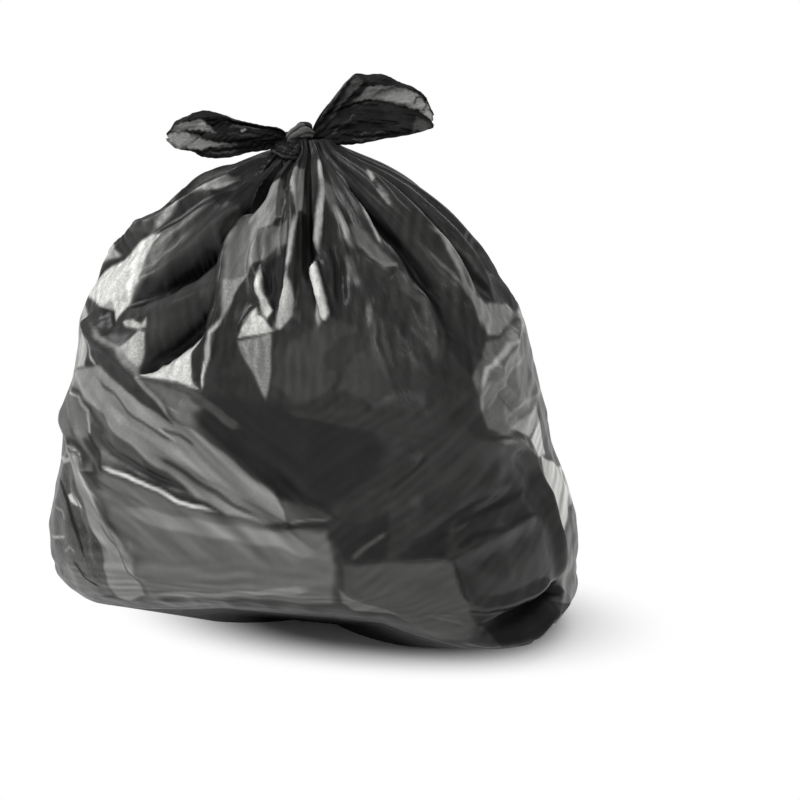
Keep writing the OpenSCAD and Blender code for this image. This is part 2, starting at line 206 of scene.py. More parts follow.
# The folds that the photograph shows; the ones of the back are in BackFolds
FOLDS = (
    Fold(9, 16, 18, 0, 0.35, ((312, 484), (316.5, 447), (320, 420), (322.5, 398))),
    Fold(-17, 18, 18, 0, 0.3, (
        (314, 484), (322, 433), (329, 404), (332, 370), (333.5, 343), (333, 300))),
    Fold(7, 14, 14, 0, 0.4, ((338, 484), (340, 449), (338, 428), (340, 400))),
    Fold(9, 30, 18, 0, 0.3, ((343, 484), (344, 409), (345.5, 385), (345, 347), (348, 304))),
    Fold(-15, 14, 12, 0, 0.35, ((353, 484), (352, 441), (353.5, 419), (353.5, 382), (354.5, 335))),
    Fold(8, 16, 20, 0, 0.35, ((358, 484), (358, 438), (0, 408), (359.5, 379), (357, 338))),
    Fold(-7, 12, 14, 0, 0.4, ((6, 484), (6, 420), (5, 380), (4, 345))),
    Fold(7, 16, 16, 0, 0.4, ((12, 484), (13, 420), (14, 370), (15, 330))),
    Fold(9, 16, 22, 0.15, 0.3, ((8, 322), (355, 296), (348, 287), (339, 262), (336, 245))),
    Fold(5, 9, 9, 0.3, 0.3, ((314, 384), (319.5, 373), (326, 376))),
    Fold(4, 12, 12, 0.3, 0.4, ((317, 362), (313.5, 338), (312, 316), (313.5, 290), (314, 268))),
    Fold(4, 12, 14, 0.3, 0.5, ((324, 376), (324, 340), (325, 312))),
    Fold(5, 14, 10, 0.3, 0.4, ((328, 365), (329, 331), (328, 285))),
    Fold(13, 14, 14, 0, 0.12, ((276, 484), (279.5, 453), (286, 406), (286.5, 360), (283.5, 322))),
    Fold(-16, 14, 12, 0, 0.3, ((290, 484), (291, 452), (293, 406), (293, 376), (294.5, 345))),
    Fold(12, 12, 12, 0, 0.12, ((305, 484), (304, 460), (300, 431), (297.5, 385))),
    Fold(12, 10, 9, 0.2, 0.12, ((294.5, 384), (297.5, 358), (300, 330))),
    Fold(6, 10, 10, 0.3, 0.4, ((306, 440), (309.5, 420), (311, 394), (310, 365))),
    Fold(-8, 12, 12, 0.3, 0.4, ((304, 400), (305, 370), (304, 335))),
    Fold(8, 12, 10, 0.4, 0.2, ((268.5, 422), (269, 381), (275.5, 356), (281, 333))),
    Fold(-14, 10, 10, 0, 0.4, ((266, 484), (267, 455), (276.5, 420), (278, 398))),
    Fold(-9, 12, 10, 0.3, 0.3, ((276, 380), (277, 350), (277, 325))),
    Fold(6, 8, 8, 0.2, 0.2, ((269, 312), (274, 337), (282.5, 323))),
    Fold(5, 10, 10, 0.2, 0.4, ((270, 312), (276, 290), (280, 262))),
    Fold(17, 22, 16, 0, 0.15, (
        (250, 470), (253, 442), (257, 412), (258, 390), (261, 346), (261, 310), (258.5, 262))),
    Fold(8, 16, 16, 0.1, 0.2, ((184, 478), (183, 450), (200, 425), (205.5, 390), (193, 330))),
    Fold(10, 18, 12, 0.1, 0.2, (
        (221.5, 470), (221, 444), (213.5, 421), (209, 399), (194, 362), (186, 330))),
    Fold(-24, 26, 30, 0, 0.25, (
        (250, 484), (255, 433), (254, 410), (249, 391), (241.5, 375), (230.5, 352), (221, 325))),
    Fold(6, 18, 18, 0.3, 0.4, ((252, 350), (246, 340), (238, 330))),
    Fold(-20, 24, 22, 0.25, 0.15, ((259, 346), (254.5, 323), (245, 297), (237.5, 272))),
    Fold(8, 12, 8, 0.1, 0.1, ((237.5, 270), (247, 268), (258, 264))),
    Fold(11, 14, 16, 0.1, 0.3, ((204, 306), (215, 296), (224.5, 287), (236, 269), (250.5, 237))),
    Fold(-7, 12, 12, 0.2, 0.2, ((214, 330), (216, 318), (222, 300))),
    Fold(10, 22, 14, 0.3, 0.2, (
        (238, 268), (244, 250), (258, 231), (272.5, 201), (282, 174), (288, 150))),
    Fold(-6, 10, 10, 0.2, 0.3, ((224, 252), (228, 242), (236.5, 227), (250, 210), (262, 196))),
    Fold(8, 9, 10, 0.15, 0.25, ((226, 184), (229.5, 178), (241, 170), (252.5, 157), (266, 148))),
    Fold(-8, 10, 14, 0.2, 0.2, (
        (240, 206), (246.5, 196), (258.5, 175), (270.5, 161), (286, 137), (294, 122))),
    Fold(12, 18, 14, 0.2, 0.1, (
        (200, 235), (203, 218), (216.5, 195), (224, 166), (231.5, 141), (238.5, 109), (242, 66))),
    Fold(7, 10, 10, 0.2, 0.3, ((206, 240), (211, 226), (222.5, 190), (230, 164))),
    Fold(4, 8, 14, 0.3, 0.3, ((241.5, 144), (258, 141), (280, 134))),
    Fold(-7, 12, 20, 0.3, 0.3, ((276, 190), (283, 178), (290, 167), (299, 152), (303, 136))),
    Fold(9, 16, 10, 0.15, 0.3, (
        (300, 112), (311, 113), (322.5, 114), (327, 121), (336.5, 131), (352, 140))),
    Fold(6, 10, 12, 0.1, 0.1, ((321, 116), (323, 104), (325, 90), (328, 56))),
    Fold(5, 10, 12, 0.1, 0.2, ((299, 116), (299.5, 87), (304, 66))),
    Fold(11, 16, 12, 0.2, 0.1, (
        (333, 220), (343.5, 213), (352, 200), (356, 180), (358, 144), (356, 57))),
    Fold(5, 12, 12, 0.3, 0.2, ((325, 216), (318, 192), (312.5, 169), (307, 140), (303, 118))),
    Fold(-5, 10, 10, 0.3, 0.3, ((338, 170), (330, 155), (324, 142), (311.5, 120))),
    Fold(-7, 10, 10, 0.3, 0.2, ((347, 165), (340, 158), (334.5, 151), (324, 126))),
    Fold(8, 10, 12, 0.2, 0.2, ((325, 58), (335, 58), (345, 61), (353, 64))),
    Fold(-26, 15, 18, 0.45, 0.15, ((324, 22), (335, 32), (345, 39), (358, 48))),
    Fold(10, 9, 9, 0.2, 0.2, ((323, 10), (335, 13), (348, 17), (358, 24))),
    Fold(-5, 8, 8, 0.3, 0.3, ((206, 250), (216, 236), (226, 218), (234, 205))),
    Fold(-6, 8, 12, 0.2, 0.3, ((222, 214), (232, 192), (246, 172), (262, 158))),
    Fold(7, 6, 9, 0.2, 0.2, ((217, 178), (232, 166), (247, 152), (262, 144))),
    Fold(-6, 10, 8, 0.3, 0.3, ((213, 168), (219, 140), (228, 104), (236, 76))),
    Fold(5, 8, 8, 0.2, 0.3, ((339, 300), (344, 270), (352, 244), (358, 226))),
    Fold(-5, 7, 9, 0.2, 0.3, ((343, 262), (349, 246), (356, 228), (362, 214))),
)

# Painted light and shade on the wall: pale patches are painted highlights, reflections and light
# through thin film, and dark ones painted shade in valleys and hollows.
PAINTED_LIGHT_PATCHES = (
    # Left shoulder
    Patch(Tone.SOFT, 0.3, 4, ((126, 244), (147, 223), (162.4, 207.8), (199, 187), (242.8, 167.7),
        (256.2, 163.8), (242.79, 179.13), (212.18, 196.35), (193, 202), (174, 217),
        (154.8, 234.6))),
    Patch(Tone.PALE, 0.2, 4, ((88, 302), (101.2, 269), (126, 242), (125.1, 256.6), (95, 288))),
    Patch(Tone.PALE, 0.2, 5, ((88.8, 301.6), (87.45, 324.53), (88.8, 366.6), (78.3, 368.5),
        (65.8, 370.4), (76, 332))),
    Patch(Tone.GREY, 0.4, 5, ((154.8, 234.6), (178, 221), (212, 206), (185.4, 230.8), (172, 244),
        (162, 258), (147, 277), (132, 298), (124, 311), (139.5, 282.4), (143.3, 267.1))),
    Patch(Tone.WHITE, 1, 4, ((91, 294), (124.2, 259.5), (154.8, 234.6), (162.4, 233.7), (155, 250),
        (143.3, 267.1), (139.5, 282.4), (124, 311), (116.5, 322.6), (113.7, 313.1), (99, 307))),
    Patch(Tone.PLAIN, 0, 6, ((212, 206), (250.4, 211.7), (246.6, 236.5), (238.97, 246.09),
        (204.5, 249.9), (162, 282), (147, 292), (155, 275), (174, 246))),
    Patch(Tone.BLACK, 0, 6, ((126, 309), (147, 292), (162, 282), (205, 248), (238.97, 246.09),
        (233, 267), (205, 275), (174, 290), (147.1, 305.4))),
    Patch(Tone.PLAIN, 0.1, 6, ((147, 313), (174, 292), (204.5, 278.6), (231.3, 269), (229.4, 284.4),
        (227.5, 292), (199, 323), (166, 359), (147.1, 370.4), (146, 332))),
    Patch(Tone.BLACK, 0, 6, ((147, 373), (174, 344), (199, 321), (227.5, 292), (224.6, 313.1),
        (199, 336))),
    Patch(Tone.BLACK, 0, 5, ((250, 194), (279, 171), (286.8, 179.1), (266, 191), (252, 215),
        (241, 242))),
    Patch(Tone.DARK, 0, 4, ((206.4, 336), (225.6, 316.9), (218, 351), (208, 388), (199, 370),
        (198, 357))),
    Patch(Tone.PALE, 1, 3.5, ((124, 351), (141, 332), (147, 334), (145.2, 372.4), (136, 361))),
    Patch(Tone.WHITE, 1, 3.5, ((149, 376.2), (206.4, 336), (199, 353), (197, 380), (205, 391),
        (183.5, 383.8), (162.4, 380))),
    Patch(Tone.PALE, 0.8, 3, ((125, 323), (135.7, 320.7), (143, 326), (149.05, 318.79), (147, 329),
        (139.5, 332.2), (128, 328.4))),
    Patch(Tone.BLACK, 0, 5, ((214, 194), (240, 186), (268, 182), (262, 192), (252, 209), (236, 205),
        (219, 203))),
    Patch(Tone.DARK, 0, 5, ((228, 181), (250, 170), (270, 158), (274, 170), (262, 184),
        (240, 186))),
    Patch(Tone.SOFT, 0.1, 13, ((150, 272), (165, 252), (184, 228), (194, 224), (188, 238),
        (168, 262), (156, 276))),
    # Pleats of the middle
    Patch(Tone.LIGHT, 0.3, 4, ((256, 206), (269.6, 188.7), (286.8, 177.2), (289, 204), (275, 227),
        (263.8, 232.7), (263.8, 263.3), (252.4, 278.6), (240.9, 297.7), (233, 313), (227.5, 322.6),
        (231.3, 297.7), (235, 275), (238.97, 246.09), (249, 223))),
    Patch(Tone.GREY, 0.3, 5, ((263.8, 232.7), (277.2, 227), (294.4, 223.1), (294.4, 246.1),
        (281, 248), (269.6, 263.3), (264, 261))),
    Patch(Tone.PALE, 1, 3.5, ((233, 286), (247, 279), (254, 275), (240.9, 297.7), (233, 313),
        (228.4, 322.6), (231, 302))),
    Patch(Tone.BLACK, 0, 5, ((271, 267), (294.4, 246.1), (292.5, 278.6), (286.8, 301.6),
        (281.1, 324.5), (272, 302))),
    Patch(Tone.WHITE, 0.6, 3, ((266, 267), (270.15, 278.61), (271, 298), (279, 313), (274.4, 322.6),
        (268, 313), (262, 294))),
    Patch(Tone.WHITE, 1, 3, ((244, 340), (256, 319), (264, 309), (273.4, 322.6), (280.1, 330.3),
        (265.8, 335.6))),
    Patch(Tone.LIGHT, 1, 4, ((242.8, 343.7), (279, 333), (277.2, 370.4), (272, 403), (262, 380),
        (250, 363))),
    Patch(Tone.LIGHT, 0.2, 4, ((298, 173), (307.8, 169.6), (310.7, 207.8), (302.1, 213.6),
        (299.8, 217.4))),
    Patch(Tone.PALE, 0.8, 3.5, ((295, 277), (301, 302), (298, 317), (287, 330), (281, 328),
        (286, 309), (289, 292))),
    Patch(Tone.BLACK, 0, 4, ((312, 217), (320, 177), (324, 217), (321, 260), (315.5, 257.6),
        (312.6, 236.5))),
    Patch(Tone.BLACK, 0, 4, ((314.5, 269), (321.2, 297.7), (325, 325), (317.4, 303.5),
        (312.6, 278.6))),
    Patch(Tone.WHITE, 0.5, 2.5, ((317, 262), (321, 266), (326, 284), (330, 302), (334, 318),
        (333, 323), (328, 322), (325, 305), (320, 285))),
    Patch(Tone.LIGHT, 0.5, 3, ((324, 300), (328, 322), (324, 333), (321, 316))),
    # Lower left
    Patch(Tone.LIGHT, 0.3, 5, ((66, 369), (99.3, 366.8), (120.4, 380.2), (147, 403), (173.9, 416.5),
        (206, 434), (231, 451), (248.5, 466.3), (279, 493), (291, 512), (290.6, 524.6), (268, 526),
        (231, 516), (202.6, 498.8), (170, 474), (153, 462), (131.8, 445.2), (111, 428),
        (103.1, 416.5), (92, 405), (78, 392), (68.7, 376.3))),
    Patch(Tone.GREY, 0.1, 10, ((107, 472), (147, 487), (202.6, 510.3), (269.6, 527.5),
        (298.3, 531.3), (335, 533), (340, 570), (338.5, 607.8), (269.6, 602.1), (154.8, 598.3),
        (143.3, 583), (139.5, 560), (132, 547), (116.5, 512.2), (105, 485))),
    Patch(Tone.SOFT, 0.2, 4, ((92, 405), (103, 415), (111, 428), (131.8, 445.2), (147, 461),
        (151, 472), (122, 472), (106.96, 462.44), (93.6, 443.3), (90, 420))),
    Patch(Tone.SOFT, 0.3, 4, ((63, 376), (70.6, 378.3), (76, 395), (86, 409), (91, 426), (92, 443),
        (78, 424), (69, 407), (63, 395))),
    Patch(Tone.PLAIN, 0.1, 4, ((94, 325), (126, 351), (145.2, 374.3), (174, 411), (179.7, 425.9),
        (155, 409), (105, 368.5), (91.3, 343.7))),
    Patch(Tone.LIGHT, 0.3, 5, ((59, 403), (68.7, 420.35), (82, 447), (91.7, 473.9), (103, 497),
        (115, 522), (132, 547), (139.5, 560), (143.3, 583), (149, 596), (132, 602),
        (116.53, 596.36), (107, 562), (87.8, 519.8), (84, 502.6), (72.5, 462.4), (61.4, 435.7))),
    Patch(Tone.SOFT, 1, 4, ((61, 447), (72.5, 462.4), (84, 502.6), (87.8, 519.8), (97.4, 540.9),
        (107, 562), (111, 587), (97, 581), (81.1, 567.7), (70.61, 569.58), (61, 564), (51.5, 542.8),
        (47, 508), (53, 478))),
    Patch(Tone.GREY, 0.8, 4, ((60.1, 563.8), (81.1, 567.7), (85.9, 575.3), (111, 587),
        (114.6, 595.4), (87.8, 594.4), (69, 589), (63, 573))),
    Patch(Tone.WHITE, 0.8, 2.5, ((66.8, 496.9), (74, 491), (79, 501), (84, 510), (76, 506))),
    Patch(Tone.PALE, 0.8, 2.5, ((62, 460.5), (70.6, 457.1), (72.5, 460.5), (65, 463))),
    Patch(Tone.SOFT, 0.1, 4, ((289, 499), (327, 512.2), (336, 518), (293, 524))),
    # The middle and its dark belly
    Patch(Tone.DIM, 0, 8, ((296, 345), (330, 325), (345, 322), (362, 330), (352, 352), (335, 395),
        (300, 405), (278, 384))),
    Patch(Tone.DIM, 0, 7, ((346, 392), (352, 372), (362, 352), (372, 345), (384, 350), (392, 372),
        (396, 395), (375, 402))),
    Patch(Tone.GREY, 0.3, 7, ((60, 392), (72, 382), (82, 398), (90, 414), (92, 440), (80, 438),
        (68, 426), (58, 412))),
    Patch(Tone.GREY, 0.3, 9, ((151, 380), (169, 385), (198, 390), (220, 408), (246, 431),
        (233, 443), (208, 434), (185, 421), (169, 402))),
    Patch(Tone.DARK, 0, 14, ((216, 395.5), (279, 403), (340, 422), (394, 447), (384, 474),
        (340, 508), (327, 510.3), (289, 497), (248.5, 466.3), (231, 451), (206.4, 431.8),
        (203, 415))),
    Patch(Tone.DARK, 0, 12, ((290, 416), (338, 430), (383.7, 435.5), (380, 449), (353, 464),
        (324, 495), (338, 514), (290, 493))),
    Patch(Tone.DARK, 0, 8, ((335.9, 538.8), (347.4, 525.4), (370, 525), (393.3, 513.9), (397, 539),
        (393, 562), (362.7, 565.6), (351, 562))),
    Patch(Tone.DARK, 0, 8, ((443, 533), (458, 522), (454.5, 544.5), (449, 558), (405, 562),
        (414.4, 548.4))),
    # Right-hand fan
    Patch(Tone.GREY, 0.2, 5, ((325.5, 177), (336.58, 189.94), (351, 229), (359, 253), (351, 244),
        (344, 223), (331.03, 201.03), (325, 195))),
    Patch(Tone.GREY, 0.2, 5, ((356.9, 221.4), (370, 236), (381, 247), (392.1, 258.4), (401, 268),
        (388.4, 273.5), (374, 260), (360.6, 247.3), (353, 229))),
    Patch(Tone.BLACK, 0, 4, ((332, 159), (353.2, 181.6), (381, 213), (399.5, 231.5), (418, 257.4),
        (436, 285), (448.5, 306.5), (456.8, 334.2), (448, 325), (435, 301), (416, 275), (398, 247),
        (379, 226), (355, 191))),
    Patch(Tone.BLACK, 0, 4, ((381, 177), (406.9, 195.5), (431, 218), (451.2, 243.6), (472, 275),
        (451.25, 258.37), (427.2, 228.8), (403.2, 202.9))),
    Patch(Tone.SOFT, 0.1, 5, ((455, 240), (477.1, 265.8), (499, 297), (501.18, 306.45),
        (482.7, 299.1), (472, 279))),
    Patch(Tone.DARK, 0, 5, ((444.8, 306.5), (457, 325), (469.7, 341.6), (479, 358), (481, 380),
        (471.6, 371.2), (455, 351), (446.6, 326.8))),
    Patch(Tone.LIGHT, 0.2, 4, ((478.1, 302.8), (512.3, 304.6), (513, 323), (502, 339), (492, 336),
        (482.7, 317.5))),
    Patch(Tone.BLACK, 0, 4, ((395, 187), (415, 207), (435, 228), (448, 243), (455, 258), (465, 274),
        (485, 298), (500, 303), (492, 288), (480, 272), (465, 252), (450, 235), (430, 215),
        (412, 200))),
    # Right side
    Patch(Tone.GREY, 0.4, 5, ((515.05, 302.75), (528, 332), (538.2, 378.6), (540, 404.5),
        (536.3, 428.5), (509, 436), (492, 432), (486.4, 413.7), (479, 380), (491.93, 343.44),
        (503, 342))),
    Patch(Tone.PALE, 0.4, 3.5, ((514.1, 303.7), (520, 306), (528, 324.9), (518, 336), (515, 318))),
    Patch(Tone.PALE, 0.3, 3.5, ((515, 430), (539, 405), (542, 422), (533, 435), (531, 437))),
    Patch(Tone.WHITE, 0.2, 3.5, ((532.6, 439.3), (542, 421), (547, 454), (541, 459))),
    Patch(Tone.WHITE, 0.2, 3.5, ((542.5, 456.5), (557.8, 464.2), (565.5, 487.1), (570, 510),
        (568.4, 533.1), (561.67, 552.18), (558, 518), (552.1, 492.9), (543.5, 466.1))),
    Patch(Tone.GREY, 0.3, 4, ((568.4, 513.9), (574, 552), (575.1, 586.6), (571.6, 600), (564, 589),
        (562, 552))),
    # Front right corner
    Patch(Tone.SOFT, 0.1, 5, ((349, 566), (363, 568), (405, 564), (453, 562), (462, 581),
        (473.7, 605.8), (481.3, 626.8), (472, 642), (443, 642), (412, 623), (385.7, 611.5),
        (362.7, 607.7), (352, 594))),
    Patch(Tone.GREY, 0.2, 4, ((347.4, 590.4), (353, 594), (370.4, 605.8), (404.8, 617.2),
        (389.5, 615.3), (360.8, 612.4), (347.4, 605.8))),
    Patch(Tone.BLACK, 0, 3.5, ((483.2, 625.8), (500.4, 623), (519.6, 611.5), (543, 600),
        (561.7, 586.6), (565.5, 592.4), (557.8, 603.8), (573.1, 601.9), (572, 611), (546.4, 626.8),
        (529, 646), (506, 646), (490.9, 632.5))),
)

# Painted light and shade along creases: pale streaks are painted highlights on crests, and dark
# ones painted shade along valleys.
PAINTED_LIGHT_STREAKS = (
    # Left shoulder
    Streak(Tone.DARK, 0, 4.5, ((266, 156), (240, 166), (216, 179), (180, 206), (150, 228),
        (126, 251), (100, 283))),
    Streak(Tone.LIGHT, 0.2, 4, ((243, 178), (218, 190), (195, 200), (180, 208), (165, 220),
        (152, 233))),
    Streak(Tone.PALE, 0.3, 3, ((198, 199), (182, 208), (168, 219))),
    Streak(Tone.BLACK, 0, 3, ((207, 203), (190, 214), (170, 226), (158, 233))),
    Streak(Tone.PALE, 0.6, 3.5, ((152.9, 235.6), (174, 217), (198.8, 198.3), (212.2, 194.4),
        (242.79, 179.13))),
    Streak(Tone.DARK, 0, 2, ((92.6, 288.6), (124.2, 258))),
    Streak(Tone.LIGHT, 0.2, 3.5, ((93.6, 322.6), (124, 351), (147, 376), (166.3, 401.1),
        (182, 425))),
    Streak(Tone.PALE, 0.2, 2.5, ((90, 326), (90, 344), (97, 368))),
    # Pleats of the middle
    Streak(Tone.WHITE, 0.2, 2.5, ((231.3, 316.9), (222, 336), (218, 361), (210, 380),
        (206.8, 391.5))),
    Streak(Tone.PALE, 0.1, 2.5, ((298.3, 171.5), (300.6, 217.4), (298.7, 246.1), (295.4, 278.6))),
    Streak(Tone.PALE, 0.1, 3.5, ((322.2, 161), (325, 179), (327, 217), (323.9, 261.4))),
    # Lower left
    Streak(Tone.SOFT, 0, 3, ((95, 376), (116.53, 395.48), (128, 412.7), (145, 424), (162.4, 435.7),
        (178, 444))),
    Streak(Tone.SOFT, 0, 3, ((164.4, 429.9), (185, 437), (199, 449))),
    Streak(Tone.SOFT, 0, 3.5, ((160.5, 456.7), (174, 468), (202.6, 485.4), (231, 503),
        (269.6, 523.7))),
    Streak(Tone.PALE, 0, 2, ((162.4, 429), (179, 444))),
    Streak(Tone.PALE, 0.2, 2.2, ((71.57, 379.22), (78.3, 397.4), (88, 411), (90, 426), (92, 442))),
    Streak(Tone.SOFT, 0, 2.5, ((70.6, 410.8), (87.8, 447.1), (103, 466), (110.8, 481.6))),
    Streak(Tone.SOFT, 0, 2.5, ((84, 454.79), (97.4, 485.4), (113, 508))),
    Streak(Tone.SOFT, 0, 2, ((101.2, 521.7), (116.5, 542.8), (136, 562))),
    Streak(Tone.PALE, 0.1, 2.5, ((63, 414.6), (84, 454.79), (95, 485), (107, 512), (122, 539))),
    Streak(Tone.WHITE, 0.3, 3.6, ((107, 465), (122, 474), (147, 483), (174, 497), (202.6, 508.4),
        (223.66, 513.71))),
    Streak(Tone.PALE, 0.5, 2, ((51.5, 536.1), (68.7, 536.5))),
    Streak(Tone.PALE, 0.5, 2, ((63, 461), (74, 457))),
    Streak(Tone.SOFT, 0, 2.5, ((66, 424), (84, 455), (98, 482), (112, 510), (123, 540))),
    Streak(Tone.DARK, 0, 2.5, ((88, 432), (100, 452), (110, 474))),
    Streak(Tone.GREY, 0, 2.5, ((104, 500), (117, 530), (128, 560), (134, 580))),
    Streak(Tone.SOFT, 0, 3, ((150, 590), (135, 575), (126, 556))),
    Streak(Tone.LIGHT, 0.5, 2, ((56, 506), (64, 512), (66, 520))),
    Streak(Tone.LIGHT, 0.5, 2, ((62, 552), (72, 548), (78, 556))),
    Streak(Tone.GREY, 0.5, 2.5, ((66, 470), (76, 500), (86, 524), (92, 548), (100, 570))),
    Streak(Tone.BLACK, 0.5, 3, ((60, 470), (68, 500), (80, 535), (90, 562))),
    Streak(Tone.BLACK, 0.5, 3, ((74, 560), (88, 578), (104, 588))),
    Streak(Tone.LIGHT, 0, 14, ((120.4, 508.4), (174, 524), (231.3, 533.2), (288.7, 542.8),
        (327, 560))),
    Streak(Tone.LIGHT, 0, 10, ((152.9, 595.4), (212.2, 596.4), (279.1, 594.4), (317.4, 588.7))),
    Streak(Tone.GREY, 0, 2, ((293, 525), (338, 520))),
    Streak(Tone.DARK, 0, 3, ((286, 531), (338.45, 525.96))),
    Streak(Tone.SOFT, 0.3, 8, ((193.1, 395.5), (212, 407), (231.3, 420.4), (245, 430))),
    # Right-hand fan
    Streak(Tone.LIGHT, 0.3, 4, ((341, 214), (349.5, 232.5), (352.3, 245.4))),
    Streak(Tone.PALE, 0, 2.4, ((323.6, 148.3), (344, 175), (359, 197), (368, 218), (377, 236),
        (385.6, 249.1))),
    Streak(Tone.PALE, 0.8, 2, ((366, 176), (375.8, 185.9))),
    Streak(Tone.LIGHT, 0.8, 2, ((379, 190), (393, 208))),
    Streak(Tone.LIGHT, 0.5, 2, ((340.3, 152.9), (348.6, 158.1))),
    Streak(Tone.BLACK, 0, 5, ((333, 155), (352, 180), (372, 203), (390, 222), (405, 243),
        (420, 265), (435, 285), (445, 305), (450, 325), (455, 350))),
    Streak(Tone.BLACK, 0, 3.5, ((372, 172), (383, 180), (395, 188))),
    Streak(Tone.SOFT, 0, 3, ((405, 185), (430, 207), (455, 228), (475, 255), (490, 280),
        (500, 300))),
    Streak(Tone.SOFT, 0, 2.5, ((420, 240), (435, 258), (450, 278), (465, 293))),
    Streak(Tone.LIGHT, 0, 3, ((428, 232), (440, 243), (450, 258), (460, 275), (468, 290),
        (478, 310), (486, 328))),
    Streak(Tone.GREY, 0, 2.5, ((388.4, 173.3), (418, 195.5), (443.8, 217.7), (469.7, 251),
        (492, 281), (503, 301))),
    Streak(Tone.LIGHT, 0, 3.5, ((424, 223), (447.5, 251), (469.7, 284.3), (479, 312), (487, 331))),
    Streak(Tone.GREY, 0, 2.5, ((431, 249), (448, 269), (464, 288), (475.3, 304.6))),
    Streak(Tone.SOFT, 0, 5, ((374, 301), (378.2, 324.9), (380.97, 343.44), (395.8, 387.8))),
    Streak(Tone.SOFT, 0, 7, ((399, 266), (411, 292), (429, 306), (438, 336), (444, 371))),
    Streak(Tone.SOFT, 0.1, 8, ((351, 255), (359, 277), (360.62, 287.96))),
    Streak(Tone.PLAIN, 0, 16, ((331, 371), (349.5, 349), (374, 342))),
    # Right side
    Streak(Tone.PALE, 0.1, 3.5, ((526.1, 325.9), (509, 346), (492, 371), (487, 397))),
    Streak(Tone.LIGHT, 0.1, 3.5, ((529, 351), (516, 371), (501.2, 398.9), (490, 414))),
    Streak(Tone.LIGHT, 0.1, 3.5, ((538.2, 386), (527, 404), (512, 419))),
    Streak(Tone.LIGHT, 0, 3, ((495.7, 380), (487, 399), (489, 416))),
    # Front right corner
    Streak(Tone.GREY, 0, 4, ((497, 442), (520, 443), (533, 445))),
    Streak(Tone.PLAIN, 0, 6, ((290, 411), (309, 416), (347, 424), (386, 430), (423.9, 439.7),
        (462, 444))),
    Streak(Tone.DARK, 0, 4, ((456, 553), (481, 539), (519.6, 521.6), (544, 512))),
    Streak(Tone.DARK, 0, 3, ((443, 533), (467.9, 513.9), (499, 495))),
    Streak(Tone.DARK, 0, 4.5, ((456.4, 529.2), (491, 514), (512, 502), (528, 486))),
    Streak(Tone.DARK, 0, 3, ((397, 495), (414, 478), (437, 455))),
    Streak(Tone.SOFT, 0, 3.5, ((358.9, 561.7), (372, 548), (395, 533))),
    Streak(Tone.PLAIN, 0.1, 5, ((397, 502), (409, 493), (437, 466))),
    Streak(Tone.DARK, 0, 3, ((456, 560), (466, 584.7), (474, 604))),
    Streak(Tone.DARK, 0, 4, ((552.1, 494.8), (556.9, 525.4), (562.6, 571.3))),
)


